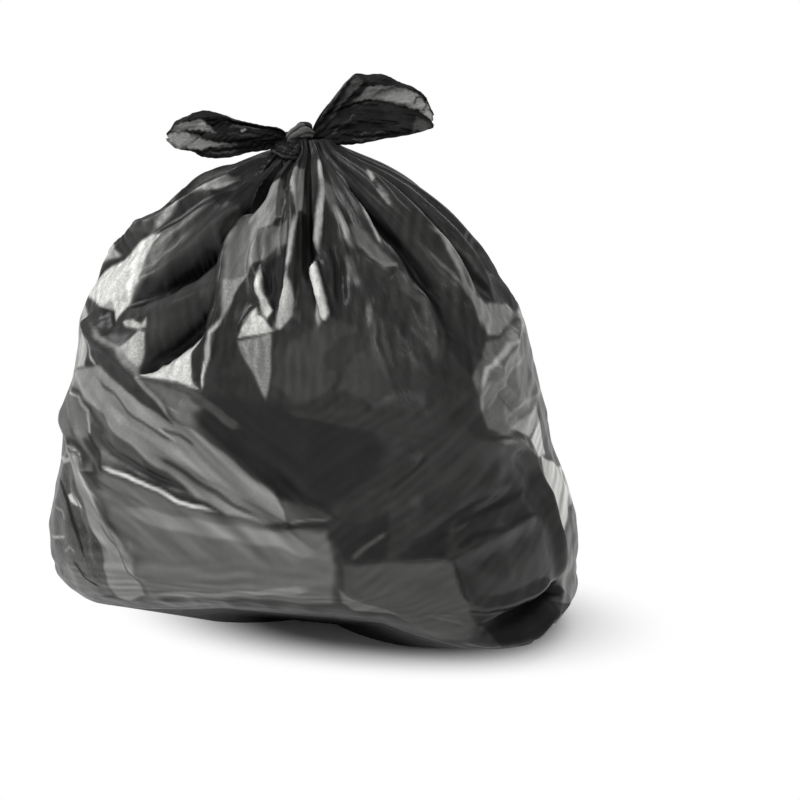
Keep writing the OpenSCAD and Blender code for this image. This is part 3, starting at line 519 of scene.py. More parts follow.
@dataclass
class BodyForm:
    """The mean form of the filled sack, as the part's source gives it, without folds."""

    width: float = 524.0
    depth: float = 386.0
    height: float = 484.0
    neck_r: float = 22.5
    foot_square: float = 3.0
    neck_square: float = 2.0
    lift_blend: float = 80.0
    foot_share: float = 0.1
    patch_inset: float = 34.0
    under_run: float = 3.0
    under_most: float = 0.8
    mid: tuple[float, float] = (6.981, 0.236)
    bulge_depth: float = 3.0
    front: tuple[float, float] = (184.0, 396.0)
    # Height share, then width, depth and lean as shares of the half width
    outline_rows: tuple[tuple[float, float, float, float], ...] = (
        (0.000, 0.847, 0.796, 0.040), (0.045, 0.934, 0.909, 0.030),
        (0.100, 0.984, 0.972, 0.012), (0.190, 1.000, 1.000, -0.005),
        (0.270, 0.973, 0.983, -0.018), (0.360, 0.921, 0.949, -0.032),
        (0.455, 0.901, 0.915, -0.038), (0.540, 0.862, 0.876, -0.032),
        (0.620, 0.830, 0.825, -0.030), (0.680, 0.781, 0.774, -0.030),
        (0.740, 0.696, 0.689, -0.026), (0.793, 0.604, 0.602, -0.022),
        (0.843, 0.498, 0.502, -0.022), (0.888, 0.374, 0.383, -0.015),
        (0.928, 0.239, 0.248, -0.008), (0.957, 0.114, 0.120, -0.004),
        (0.978, 0.035, 0.032, 0.000), (1.000, 0.000, 0.000, -0.008))
    # Height of the bottom fold, and how far it stands out, by angle
    lifts: tuple[tuple[float, float], ...] = (
        (90, 20), (150, 20), (190, 26), (215, 29), (255, 46), (308, 48), (326, 25),
        (333, 20), (344, 14), (349, 24), (354, 22), (360, 15), (380, 15), (400, 20),
        (450, 20))
    reach: tuple[tuple[float, float], ...] = (
        (90, 1), (170, 1.05), (205, 1.08), (245, 1), (295, 1), (325, 1.11), (358, 1.1),
        (400, 1.02), (450, 1))

    def outline(self, share: np.ndarray, column: int) -> np.ndarray:
        """Smooth curve through one column of the outline rows.

        Args:
            share: Heights as shares of the body's height.
            column: 1 for width, 2 for depth, 3 for lean.

        Returns:
            The column's value at each height.
        """
        rows = np.array(self.outline_rows)
        t, v = rows[:, 0], rows[:, column]
        before = np.maximum(np.arange(len(t)) - 1, 0)
        after = np.minimum(np.arange(len(t)) + 1, len(t) - 1)
        lean = (v[after] - v[before]) / (t[after] - t[before])
        k = np.clip(np.searchsorted(t, share, side="right") - 1, 0, len(t) - 2)
        step = t[k + 1] - t[k]
        u = (share - t[k]) / step
        w = 1.0 - u
        ends = v[k] * w * w * (1 + 2 * u) + v[k + 1] * u * u * (1 + 2 * w)
        return ends + step * u * w * (lean[k] * w - lean[k + 1] * u)

    def half_width(self, share: np.ndarray) -> np.ndarray:
        """Half the width at a height share."""
        return self.neck_r + self.outline(share, 1) * (self.width / 2 - self.neck_r)

    def half_depth(self, share: np.ndarray) -> np.ndarray:
        """Half the depth at a height share."""
        return self.neck_r + self.outline(share, 2) * (self.depth / 2 - self.neck_r)

    def lean(self, share: np.ndarray) -> np.ndarray:
        """Sideways shift of the section at a height share."""
        return self.outline(share, 3) * self.width / 2

    def mean_radius(self, share: np.ndarray) -> np.ndarray:
        """Mean of half width and half depth at a height share."""
        return (self.half_width(share) + self.half_depth(share)) / 2

    def walk(self, heights: np.ndarray) -> np.ndarray:
        """Length of film from the bottom fold up to each height.

        Args:
            heights: Heights in mm.

        Returns:
            The lengths in mm.
        """
        share = np.linspace(0, 1, 3000)
        r = self.mean_radius(share)
        steps = np.hypot(np.diff(r), np.diff(share) * self.height)
        length = np.concatenate([[0.0], np.cumsum(steps)])
        return np.interp(np.asarray(heights, float) / self.height, share, length)

    def row_heights(self, rows: int) -> np.ndarray:
        """Heights of grid rows that stand equal lengths of film apart.

        Args:
            rows: How many rows the grid has.

        Returns:
            The heights in mm, from the bottom fold to the neck.
        """
        heights = np.linspace(0, self.height, 3000)
        length = self.walk(heights)
        return np.interp(np.linspace(0, length[-1], rows), length, heights)

    def column_angles(self, front: int, back: int) -> np.ndarray:
        """Angles of grid columns: even steps over the front, then over the back.

        Args:
            front: Columns over the front, which the photograph shows.
            back: Columns over the rest.

        Returns:
            The angles in degrees, rising from the front's left edge.
        """
        left, right = self.front
        over_front = left + (right - left) * np.arange(front) / front
        over_back = right + (360 - right + left) * np.arange(back) / back
        return np.concatenate([over_front, over_back])

    def bulge(self, angles: np.ndarray, share: np.ndarray) -> np.ndarray:
        """Broad bulges of the contents, none at the neck.

        Args:
            angles: Angles in degrees.
            share: Heights as shares of the body's height.

        Returns:
            The bulges, rows by columns, between about -1.7 and 1.7.
        """
        a, h = np.meshgrid(angles, share)
        waves = np.sin(np.radians(3 * a + 260 * h)) + 0.7 * np.cos(
            np.radians(5 * a - 400 * h + 50))
        return waves * np.sin(np.pi * np.maximum(h, 0) ** 0.8)

    def wall(self, angles: np.ndarray, heights: np.ndarray) -> tuple[np.ndarray, np.ndarray]:
        """The smooth wall at a grid of angles and heights.

        Args:
            angles: Angles in degrees, 270 at the front and 360 at the right.
            heights: Heights in mm before the foot's lift.

        Returns:
            Points and outward normals, each rows by columns by 3.
        """
        h = heights / self.height
        half_w, half_d = self.half_width(h)[:, None], self.half_depth(h)[:, None]
        n = (self.foot_square + (self.neck_square - self.foot_square) * h)[:, None]
        c = np.cos(np.radians(angles))[None]
        s = np.sin(np.radians(angles))[None]
        reach = np.array(self.reach)
        within = (angles - 90) % 360 + 90
        stand = np.interp(within, reach[:, 0], reach[:, 1])[None] - 1
        swell = 1 + stand * np.maximum(0, 1 - h[:, None] / self.foot_share)
        r = swell * ((np.abs(c) / half_w) ** n + (np.abs(s) / half_d) ** n) ** (-1 / n)
        e = 0.005
        drop = self.mean_radius(np.clip(h - e, 0, 1)) - self.mean_radius(np.clip(h + e, 0, 1))
        slope = (drop / (2 * e * self.height))[:, None]
        gx = np.sign(c) * np.abs(r * c / half_w) ** (n - 1) / half_w
        gy = np.sign(s) * np.abs(r * s / half_d) ** (n - 1) / half_d
        g = np.hypot(gx, gy)
        normal = unit(np.stack([gx / g, gy / g, np.broadcast_to(slope, gx.shape)], -1))
        lifts = np.array(self.lifts)
        lift = np.interp(within, lifts[:, 0], lifts[:, 1])[None]
        z = heights[:, None]
        blended = lift + z * (self.lift_blend - lift) / self.lift_blend
        z = np.where(z >= self.lift_blend, z, blended)
        points = np.stack([r * c + self.lean(h)[:, None], r * s, z], -1)
        points += normal * (self.bulge_depth * self.bulge(angles, h))[..., None]
        return points, normal

    def under(self, foot: np.ndarray, shares: tuple[float, ...]) -> np.ndarray:
        """Rings of the underside, from the floor patch out towards the bottom fold.

        Args:
            foot: The wall's lowest row of points.
            shares: Share of the way in to the patch of each ring, the innermost first.

        Returns:
            One ring of points for each share.
        """
        centre = self.lean(np.array([0.0]))[0]
        flat = foot[:, :2] - [centre, 0.0]
        r = np.linalg.norm(flat, axis=1, keepdims=True)
        inset = (self.patch_inset + self.under_run * foot[:, 2])[:, None]
        inset = np.minimum(inset, self.under_most * r)
        rings = []
        for share in shares:
            xy = flat * (r - inset * share) / r + [centre, 0.0]
            z = np.maximum(foot[:, 2], 0) * (1 - share)
            rings.append(np.column_stack([xy, z]))
        return np.array(rings)


@dataclass(frozen=True)
class BackFolds:
    """The folds down the back and the ones across it, as the part's source lays them."""

    count: int = 9
    depth: float = 11.0
    width: float = 18.0
    starts_at: float = 28.0
    span: float = 132.0
    creases: int = 8
    crease_turn: float = 44.0
    golden: float = 0.618

    def spread(self, k: int) -> float:
        """A share between 0 and 1, well spread from one number to the next."""
        return k * self.golden % 1

    def folds(self, height: float) -> list[Fold]:
        """All folds of the back.

        Args:
            height: The body's height in mm.

        Returns:
            The folds down the back and then the ones across it.
        """
        made = []
        for k in range(self.count):
            a = self.starts_at + self.span * (k + 0.5) / self.count
            foot = (44 + 30 * self.spread(k)) * height / 100
            rise = self.depth * (1 if k % 2 == 0 else -0.8)
            width = (0.83 + 0.33 * self.spread(k + 2)) * self.width
            lean = 24 * (self.spread(k + 1) - 0.5)
            made.append(Fold(rise, width, width, 0, 0.4, ((a + 3, height), (a + lean, foot))))
        for k in range(self.creases):
            a = self.starts_at + self.span * k / (self.creases + 1)
            low = 12 + 40 * self.spread(k)
            climb = 36 * (self.spread(k + 3) - 0.5)
            rise = self.depth * (-0.7 if k % 3 == 1 else 0.8)
            line = ((a, low), (a + self.crease_turn / 2, low + 0.6 * climb),
                    (a + self.crease_turn, low + climb))
            line = tuple((turn, share * height / 100) for turn, share in line)
            made.append(Fold(rise, self.width, self.width, 0.25, 0.3, line))
        return made


@dataclass
class FoldLayer:
    """Heights that the placed folds give the wall, on a grid of angles and heights."""

    form: BodyForm
    degree_mm: float = 4.0
    full_radius: float = 100.0

    def distances(self, line: tuple, angles: np.ndarray,
                  walks: np.ndarray) -> tuple[np.ndarray, np.ndarray, np.ndarray]:
        """Where each grid point lies beside one fold's line.

        Args:
            line: The fold's points as (angle, height).
            angles: Angles of the grid columns.
            walks: Lengths of film of the grid rows.

        Returns:
            The distance from the line, its side and the share of the way along it.
        """
        a, s = np.meshgrid(angles, walks)
        turns = [0.0]
        for k in range(1, len(line)):
            turns.append(turns[-1] + float(turned(np.array(line[k][0] - line[k - 1][0]))))
        px = np.array(turns) * self.degree_mm
        py = self.form.walk(np.array([p[1] for p in line], float))
        x = turned(a - line[0][0]) * self.degree_mm
        best = np.full(a.shape, 1e9)
        side = np.zeros(a.shape)
        along = np.zeros(a.shape)
        lengths = np.hypot(np.diff(px), np.diff(py))
        starts = np.concatenate([[0.0], np.cumsum(lengths)])
        for k, length in enumerate(lengths):
            dx, dy = (px[k + 1] - px[k]) / length, (py[k + 1] - py[k]) / length
            rx, ry = x - px[k], s - py[k]
            t = np.clip(rx * dx + ry * dy, 0, length)
            d = np.hypot(rx - t * dx, ry - t * dy)
            near = d < best
            best = np.where(near, d, best)
            side = np.where(near, dx * ry - dy * rx, side)
            along = np.where(near, starts[k] + t, along)
        return best, side, along / starts[-1]

    def heights(self, angles: np.ndarray, rows: np.ndarray, power: float = 1.6,
                narrow: float = 1.0, least: float = 0.0) -> np.ndarray:
        """Sum of all folds' heights.

        Args:
            angles: Angles of the grid columns in degrees.
            rows: Heights of the grid rows in mm.
            power: How sharp the folds' crests are.
            narrow: Factor on the folds' widths.
            least: The least width of a fold's side in mm, so that the grid can hold it.

        Returns:
            Heights above the smooth wall in mm, rows by columns.
        """
        walks = self.form.walk(rows)
        total = np.zeros((len(rows), len(angles)))
        for fold in FOLDS + tuple(BackFolds().folds(self.form.height)):
            d, side, along = self.distances(fold.line, angles, walks)
            reach = np.where(side > 0, fold.reach_after, fold.reach_before) * narrow
            reach = np.maximum(reach, least)
            crest = np.clip(1 - d / reach, 0, 1) ** power
            if fold.fade_start > 0:
                crest = crest * smooth(along / fold.fade_start)
            if fold.fade_end > 0:
                crest = crest * smooth((1 - along) / fold.fade_end)
            total += fold.rise * crest
        return total

    def reach_factor(self, points: np.ndarray) -> np.ndarray:
        """Factor that takes the folds down towards the neck."""
        return np.clip(np.hypot(points[..., 0], points[..., 1]) / self.full_radius, 0, 1)


class Ties:
    """Equal steps of film between grid points, sorted so that no point is used twice."""

    def __init__(self, shape: tuple[int, int], down: int, across: int, rest: np.ndarray,
                 stiff: float, free: np.ndarray) -> None:
        """Sort one family of ties.

        Args:
            shape: Rows and columns of the grid.
            down: Rows that a tie spans.
            across: Columns that a tie spans.
            rest: Length of the tie that starts at each point.
            stiff: Share of the error that one pass takes out.
            free: 1 where a point may move, 0 where it is held.
        """
        rows, columns = shape
        i, j = np.meshgrid(np.arange(rows - down), np.arange(columns), indexing="ij")
        a = (i * columns + j).ravel()
        b = ((i + down) * columns + (j + across) % columns).ravel()
        length = rest[: rows - down].ravel()
        if down == 0:
            colour = (j // abs(across)) % 2
        else:
            colour = (i // down) % 2
        colour = colour.ravel()
        weights = free.ravel()
        self.groups = []
        for value in np.unique(colour):
            pick = (colour == value) & (weights[a] + weights[b] > 0)
            wa, wb = weights[a[pick]], weights[b[pick]]
            share = stiff / (wa + wb)
            self.groups.append((a[pick], b[pick], length[pick], wa * share, wb * share))

    def settle(self, points: np.ndarray, push_only: bool = False) -> None:
        """Move points towards their ties' lengths, in place.

        Args:
            points: All grid points, changed in place.
            push_only: True where a tie only keeps points apart, as stiffness does.
        """
        for a, b, length, share_a, share_b in self.groups:
            step = points[b] - points[a]
            now = np.sqrt(np.einsum("ij,ij->i", step, step)) + 1e-9
            error = (now - length) / now
            if push_only:
                error = np.minimum(error, 0.0)
            step *= error[:, None]
            points[a] += step * share_a[:, None]
            points[b] -= step * share_b[:, None]


@dataclass
class FilmRelaxer:
    """Lets the film find its wrinkles: it keeps its cut lengths over the contents."""

    rows: int
    columns: int
    passes: int
    goal: float
    stiff: float
    far_stiff: float = 0.35
    shear: float = 0.6

    def run(self, points: np.ndarray, ring: np.ndarray, rise: np.ndarray, base: np.ndarray,
            normal: np.ndarray, depth: np.ndarray) -> np.ndarray:
        """Relax the grid.

        Args:
            points: Start and goal of the film, rows by columns by 3.
            ring: Cut length from each point to the next in its row.
            rise: Cut length from each point to the one above.
            base: Points of the contents' smooth surface.
            normal: Outward normals of that surface.
            depth: How far below the base the film may sink at each point.

        Returns:
            The relaxed points, rows by columns by 3.
        """
        shape = (self.rows, self.columns)
        free = np.ones(shape)
        free[:2] = 0
        free[-2:] = 0
        slant = np.sqrt(ring ** 2 + rise ** 2)
        held = [Ties(shape, 0, 1, ring, 1.0, free), Ties(shape, 1, 0, rise, 1.0, free),
                Ties(shape, 1, 1, slant, self.shear, free),
                Ties(shape, 1, -1, slant, self.shear, free)]
        far = self.stiff * self.far_stiff
        props = [Ties(shape, 0, 2, ring * 2, self.stiff, free),
                 Ties(shape, 2, 0, rise * 2, self.stiff, free),
                 Ties(shape, 0, 4, ring * 4, far, free),
                 Ties(shape, 4, 0, rise * 4, far, free)]
        x = points.reshape(-1, 3).copy()
        target = x.copy()
        pull = (self.goal * free).reshape(-1, 1)
        flat_base, flat_normal = base.reshape(-1, 3), normal.reshape(-1, 3)
        limit = -depth.ravel()
        for _ in range(self.passes):
            for ties in held:
                ties.settle(x)
            for ties in props:
                ties.settle(x, push_only=True)
            x += (target - x) * pull
            out = np.einsum("ij,ij->i", x - flat_base, flat_normal)
            x += flat_normal * np.maximum(limit - out, 0.0)[:, None]
        return x.reshape(self.rows, self.columns, 3)


def round_steps(grid: np.ndarray) -> np.ndarray:
    """Length from each grid point to the next in its row."""
    return np.linalg.norm(np.roll(grid, -1, 1) - grid, axis=2)


def rise_steps(grid: np.ndarray) -> np.ndarray:
    """Length from each grid point to the one above, the last row repeated."""
    steps = np.linalg.norm(np.diff(grid, axis=0), axis=2)
    return np.vstack([steps, steps[-1:]])


def blend(four: list[np.ndarray], t: np.ndarray) -> np.ndarray:
    """Catmull-Rom blend of four neighbours.

    Args:
        four: The neighbours, each an array of points.
        t: Share of the way from the second neighbour to the third.

    Returns:
        The blended points.
    """
    a, b, c, d = four
    return 0.5 * (2 * b + (c - a) * t + (2 * a - 5 * b + 4 * c - d) * t * t
                  + (3 * b - a - 3 * c + d) * t ** 3)


def finer(grid: np.ndarray, rows: int, at: np.ndarray) -> np.ndarray:
    """A finer grid through a coarse one, smooth in both directions.

    Args:
        grid: Coarse points, closed across its columns.
        rows: Rows of the finer grid.
        at: Where each of the finer grid's columns lies, counted in coarse columns.

    Returns:
        The finer grid of points.
    """
    old_rows, old_columns, _ = grid.shape
    j = np.floor(at).astype(int)
    wide = blend([grid[:, (j + k) % old_columns] for k in (-1, 0, 1, 2)],
                 (at - j)[None, :, None])
    u = np.linspace(0, old_rows - 1, rows)
    i = np.clip(np.floor(u).astype(int), 0, old_rows - 2)
    return blend([wide[np.clip(i + k, 0, old_rows - 1)] for k in (-1, 0, 1, 2)],
                 (u - i)[:, None, None])


def round_waves(shape: tuple[int, int], count: int, most: int) -> np.ndarray:
    """Seeded smooth noise that closes round the sack.

    Args:
        shape: Rows and columns of the grid.
        count: How many waves are summed.
        most: The most times that a wave repeats round the sack.

    Returns:
        The noise, with a spread of 1.
    """
    draw = np.random.default_rng(SEED)
    u = np.arange(shape[0])[:, None] / shape[0]
    v = np.arange(shape[1])[None, :] / shape[1] * 2 * np.pi
    total = np.zeros(shape)
    for _ in range(count):
        waves = draw.integers(5, most)
        climb = draw.uniform(-most / 3, most / 3)
        phase = draw.uniform(0, 2 * np.pi)
        total += np.cos(waves * v + climb * u * 2 * np.pi + phase) / np.sqrt(waves)
    return total / total.std()


@dataclass
class Creases:
    """Sharp creases through space: a sum of folded plane waves, for crumpled film."""

    length: float
    depth: float
    count: int = 9
    seed: int = SEED

    def heights(self, points: np.ndarray, stretch: tuple[float, float, float]) -> np.ndarray:
        """Height of the crumple at each point.

        Args:
            points: Points in mm, with 3 as the last axis.
            stretch: Factor on each axis; a small one draws the creases out along it.

        Returns:
            Heights in mm, around zero.
        """
        draw = np.random.default_rng(self.seed)
        total = np.zeros(points.shape[:-1])
        for _ in range(self.count):
            way = unit(draw.normal(size=3)) * np.array(stretch)
            length = self.length * draw.uniform(0.6, 1.7)
            phase = draw.uniform(0, 2 * np.pi)
            wave = np.sin(points @ way * (2 * np.pi / length) + phase)
            total += 0.6 - np.abs(wave)
        return total * self.depth / math.sqrt(self.count)


def sheet_faces(index: np.ndarray, marks: np.ndarray) -> list:
    """Triangles of a grid, each pair split along the diagonal with the more even tone.

    Args:
        index: Point numbers of the grid, rows by columns.
        marks: Marks of the points, rows by columns by 3.

    Returns:
        The triangles as lists of point numbers.
    """
    a, b, c, d = index[:-1, :-1], index[:-1, 1:], index[1:, 1:], index[1:, :-1]
    tone = marks[..., 0]
    rising = np.abs(tone[:-1, :-1] - tone[1:, 1:]) <= np.abs(tone[:-1, 1:] - tone[1:, :-1])
    first = np.where(rising[..., None], np.stack([a, b, c], -1), np.stack([a, b, d], -1))
    second = np.where(rising[..., None], np.stack([a, c, d], -1), np.stack([b, c, d], -1))
    return np.concatenate([first.reshape(-1, 3), second.reshape(-1, 3)]).tolist()


def make_mesh(name: str, points: np.ndarray, faces: list, marks: np.ndarray) -> bpy.types.Object:
    """A smooth-shaded mesh object in metres with its film marks.

    Args:
        name: Name of the piece.
        points: Points in mm of the form's own coordinates.
        faces: Faces as point numbers.
        marks: Root of the tone, crumple and calm of each point.

    Returns:
        The new object, linked to the scene.
    """
    mid = BodyForm().mid
    mesh = bpy.data.meshes.new(name)
    placed = (points - [mid[0], mid[1], 0.0]) * MM
    mesh.from_pydata(placed.tolist(), [], faces)
    mesh.validate()
    mesh.update()
    mesh.shade_smooth()
    layer = mesh.color_attributes.new(MARKS, "FLOAT_COLOR", "POINT")
    colour = np.column_stack([marks, np.ones(len(marks))]).astype(np.float32)
    layer.data.foreach_set("color", colour.ravel())
    piece = bpy.data.objects.new(name, mesh)
    bpy.context.scene.collection.objects.link(piece)
    return piece


def dress(piece: bpy.types.Object, material: bpy.types.Material) -> None:
    """Give a piece its film and tie it to the CAD frame.

    Args:
        piece: The piece's object.
        material: The film.
    """
    piece.data.materials.append(material)
    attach(piece, BODY)
    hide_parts(NODE)


@dataclass(frozen=True)
class Viewpoint:
    """Where the photograph was taken from: degrees, and mm round the sack's axis."""

    azimuth: float = 20.0
    elevation: float = 12.0
    distance: float = 2600.0
    aim_height: float = 250.0

    def axes(self) -> tuple[np.ndarray, np.ndarray]:
        """The ways that the picture lies in.

        Returns:
            Unit vectors to the picture's right and from the aim back to the camera.
        """
        turn, tilt = math.radians(self.azimuth), math.radians(self.elevation)
        right = np.array([math.cos(turn), math.sin(turn), 0.0])
        level = np.array([math.sin(turn), -math.cos(turn), 0.0])
        return right, level * math.cos(tilt) + [0.0, 0.0, math.sin(tilt)]


@dataclass(frozen=True)
class SideCarry:
    """How far the patches go on round a side of the sack, past what the picture shows.

    From its edge, in degrees, and below its top, in mm, a corner is carried on by a shift
    and two waves up the height, so that no patch ends in a straight cut.
    """

    edge: float
    top: float
    shift: float
    sway: float
    wave: float
    phase: float
    fine_sway: float
    fine_wave: float

    def turn(self, height: float) -> float:
        """Degrees by which a corner at this height is carried on."""
        slow = self.sway * math.sin(self.wave * height + self.phase)
        return self.shift + slow + self.fine_sway * math.sin(self.fine_wave * height)


@dataclass
class PhotoView:
    """The photograph's view of the smooth wall, which finds a point of the picture on it.

    Points of the picture are (x, y) in pixels of its 800 x 800 frame, of which one is 1 mm
    at the aim's distance.
    """

    form: BodyForm
    camera: Viewpoint = field(default_factory=Viewpoint)
    aim_x: float = 312.0
    aim_y: float = 372.0
    least_facing: float = -0.12
    first_angle: float = 90.0
    angle_step: float = 0.25
    kept_step: float = 0.5
    first_reach: float = 4.0
    right: SideCarry = SideCarry(371, 335, 7, 6, 0.11, 0, 3, 0.31)
    left: SideCarry = SideCarry(201, 400, 6, 5, 0.09, 1, 2, 0.27)
    x: np.ndarray = field(init=False)
    y: np.ndarray = field(init=False)
    angle: np.ndarray = field(init=False)
    height: np.ndarray = field(init=False)

    def __post_init__(self) -> None:
        """Project a close grid of the wall, and keep what faces the camera."""
        angles = np.arange(self.first_angle, self.first_angle + 360, self.angle_step)
        heights = np.arange(self.form.height + 1)
        points, normals = self.form.wall(angles, heights)
        right, back = self.camera.axes()
        up = np.cross(back, right)
        offset = points - [0.0, 0.0, self.camera.aim_height]
        scale = self.camera.distance / (self.camera.distance - offset @ back)
        seen = normals @ back > self.least_facing
        x = (self.aim_x + offset @ right * scale)[seen]
        y = (self.aim_y - offset @ up * scale)[seen]
        order = np.argsort(x)
        self.x, self.y = x[order], y[order]
        around, above = np.meshgrid(angles, heights)
        self.angle, self.height = around[seen][order], above[seen][order]

    def place(self, point: tuple[float, float]) -> tuple[float, float]:
        """Angle and height on the wall of a point of the picture.

        Args:
            point: The point as (x, y) in the picture.

        Returns:
            The angle in degrees and the height in mm of the nearest point that is seen.
        """
        x, y = point
        reach = self.first_reach
        while True:
            low, high = np.searchsorted(self.x, (x - reach, x + reach))
            gaps = np.hypot(self.x[low:high] - x, self.y[low:high] - y)
            if high > low and gaps.min() <= reach:
                break
            reach *= 2
        nearest = low + int(gaps.argmin())
        return self.kept(self.angle[nearest]), float(self.height[nearest])

    def kept(self, angle: float) -> float:
        """An angle to the nearest step that is kept."""
        return self.kept_step * round(float(angle) / self.kept_step)

    def carried(self, place: tuple[float, float]) -> tuple[float, float]:
        """A patch's corner, carried unevenly round the side where the picture ends.

        Args:
            place: The corner as (angle, height).

        Returns:
            The corner's new place.
        """
        angle, height = place
        if angle > self.right.edge and height < self.right.top:
            angle += self.right.turn(height)
        elif angle < self.left.edge and height < self.left.top:
            angle -= self.left.turn(height)
        return self.kept(angle), height

    def places(self, mark: Patch | Streak) -> tuple[np.ndarray, np.ndarray]:
        """Where a mark lies on the wall.

        Args:
            mark: The patch or streak.

        Returns:
            The angles and the heights of its points.
        """
        found = [self.place(point) for point in mark.points]
        if isinstance(mark, Patch):
            found = [self.carried(place) for place in found]
        angles, heights = zip(*found)
        return np.array(angles), np.array(heights)


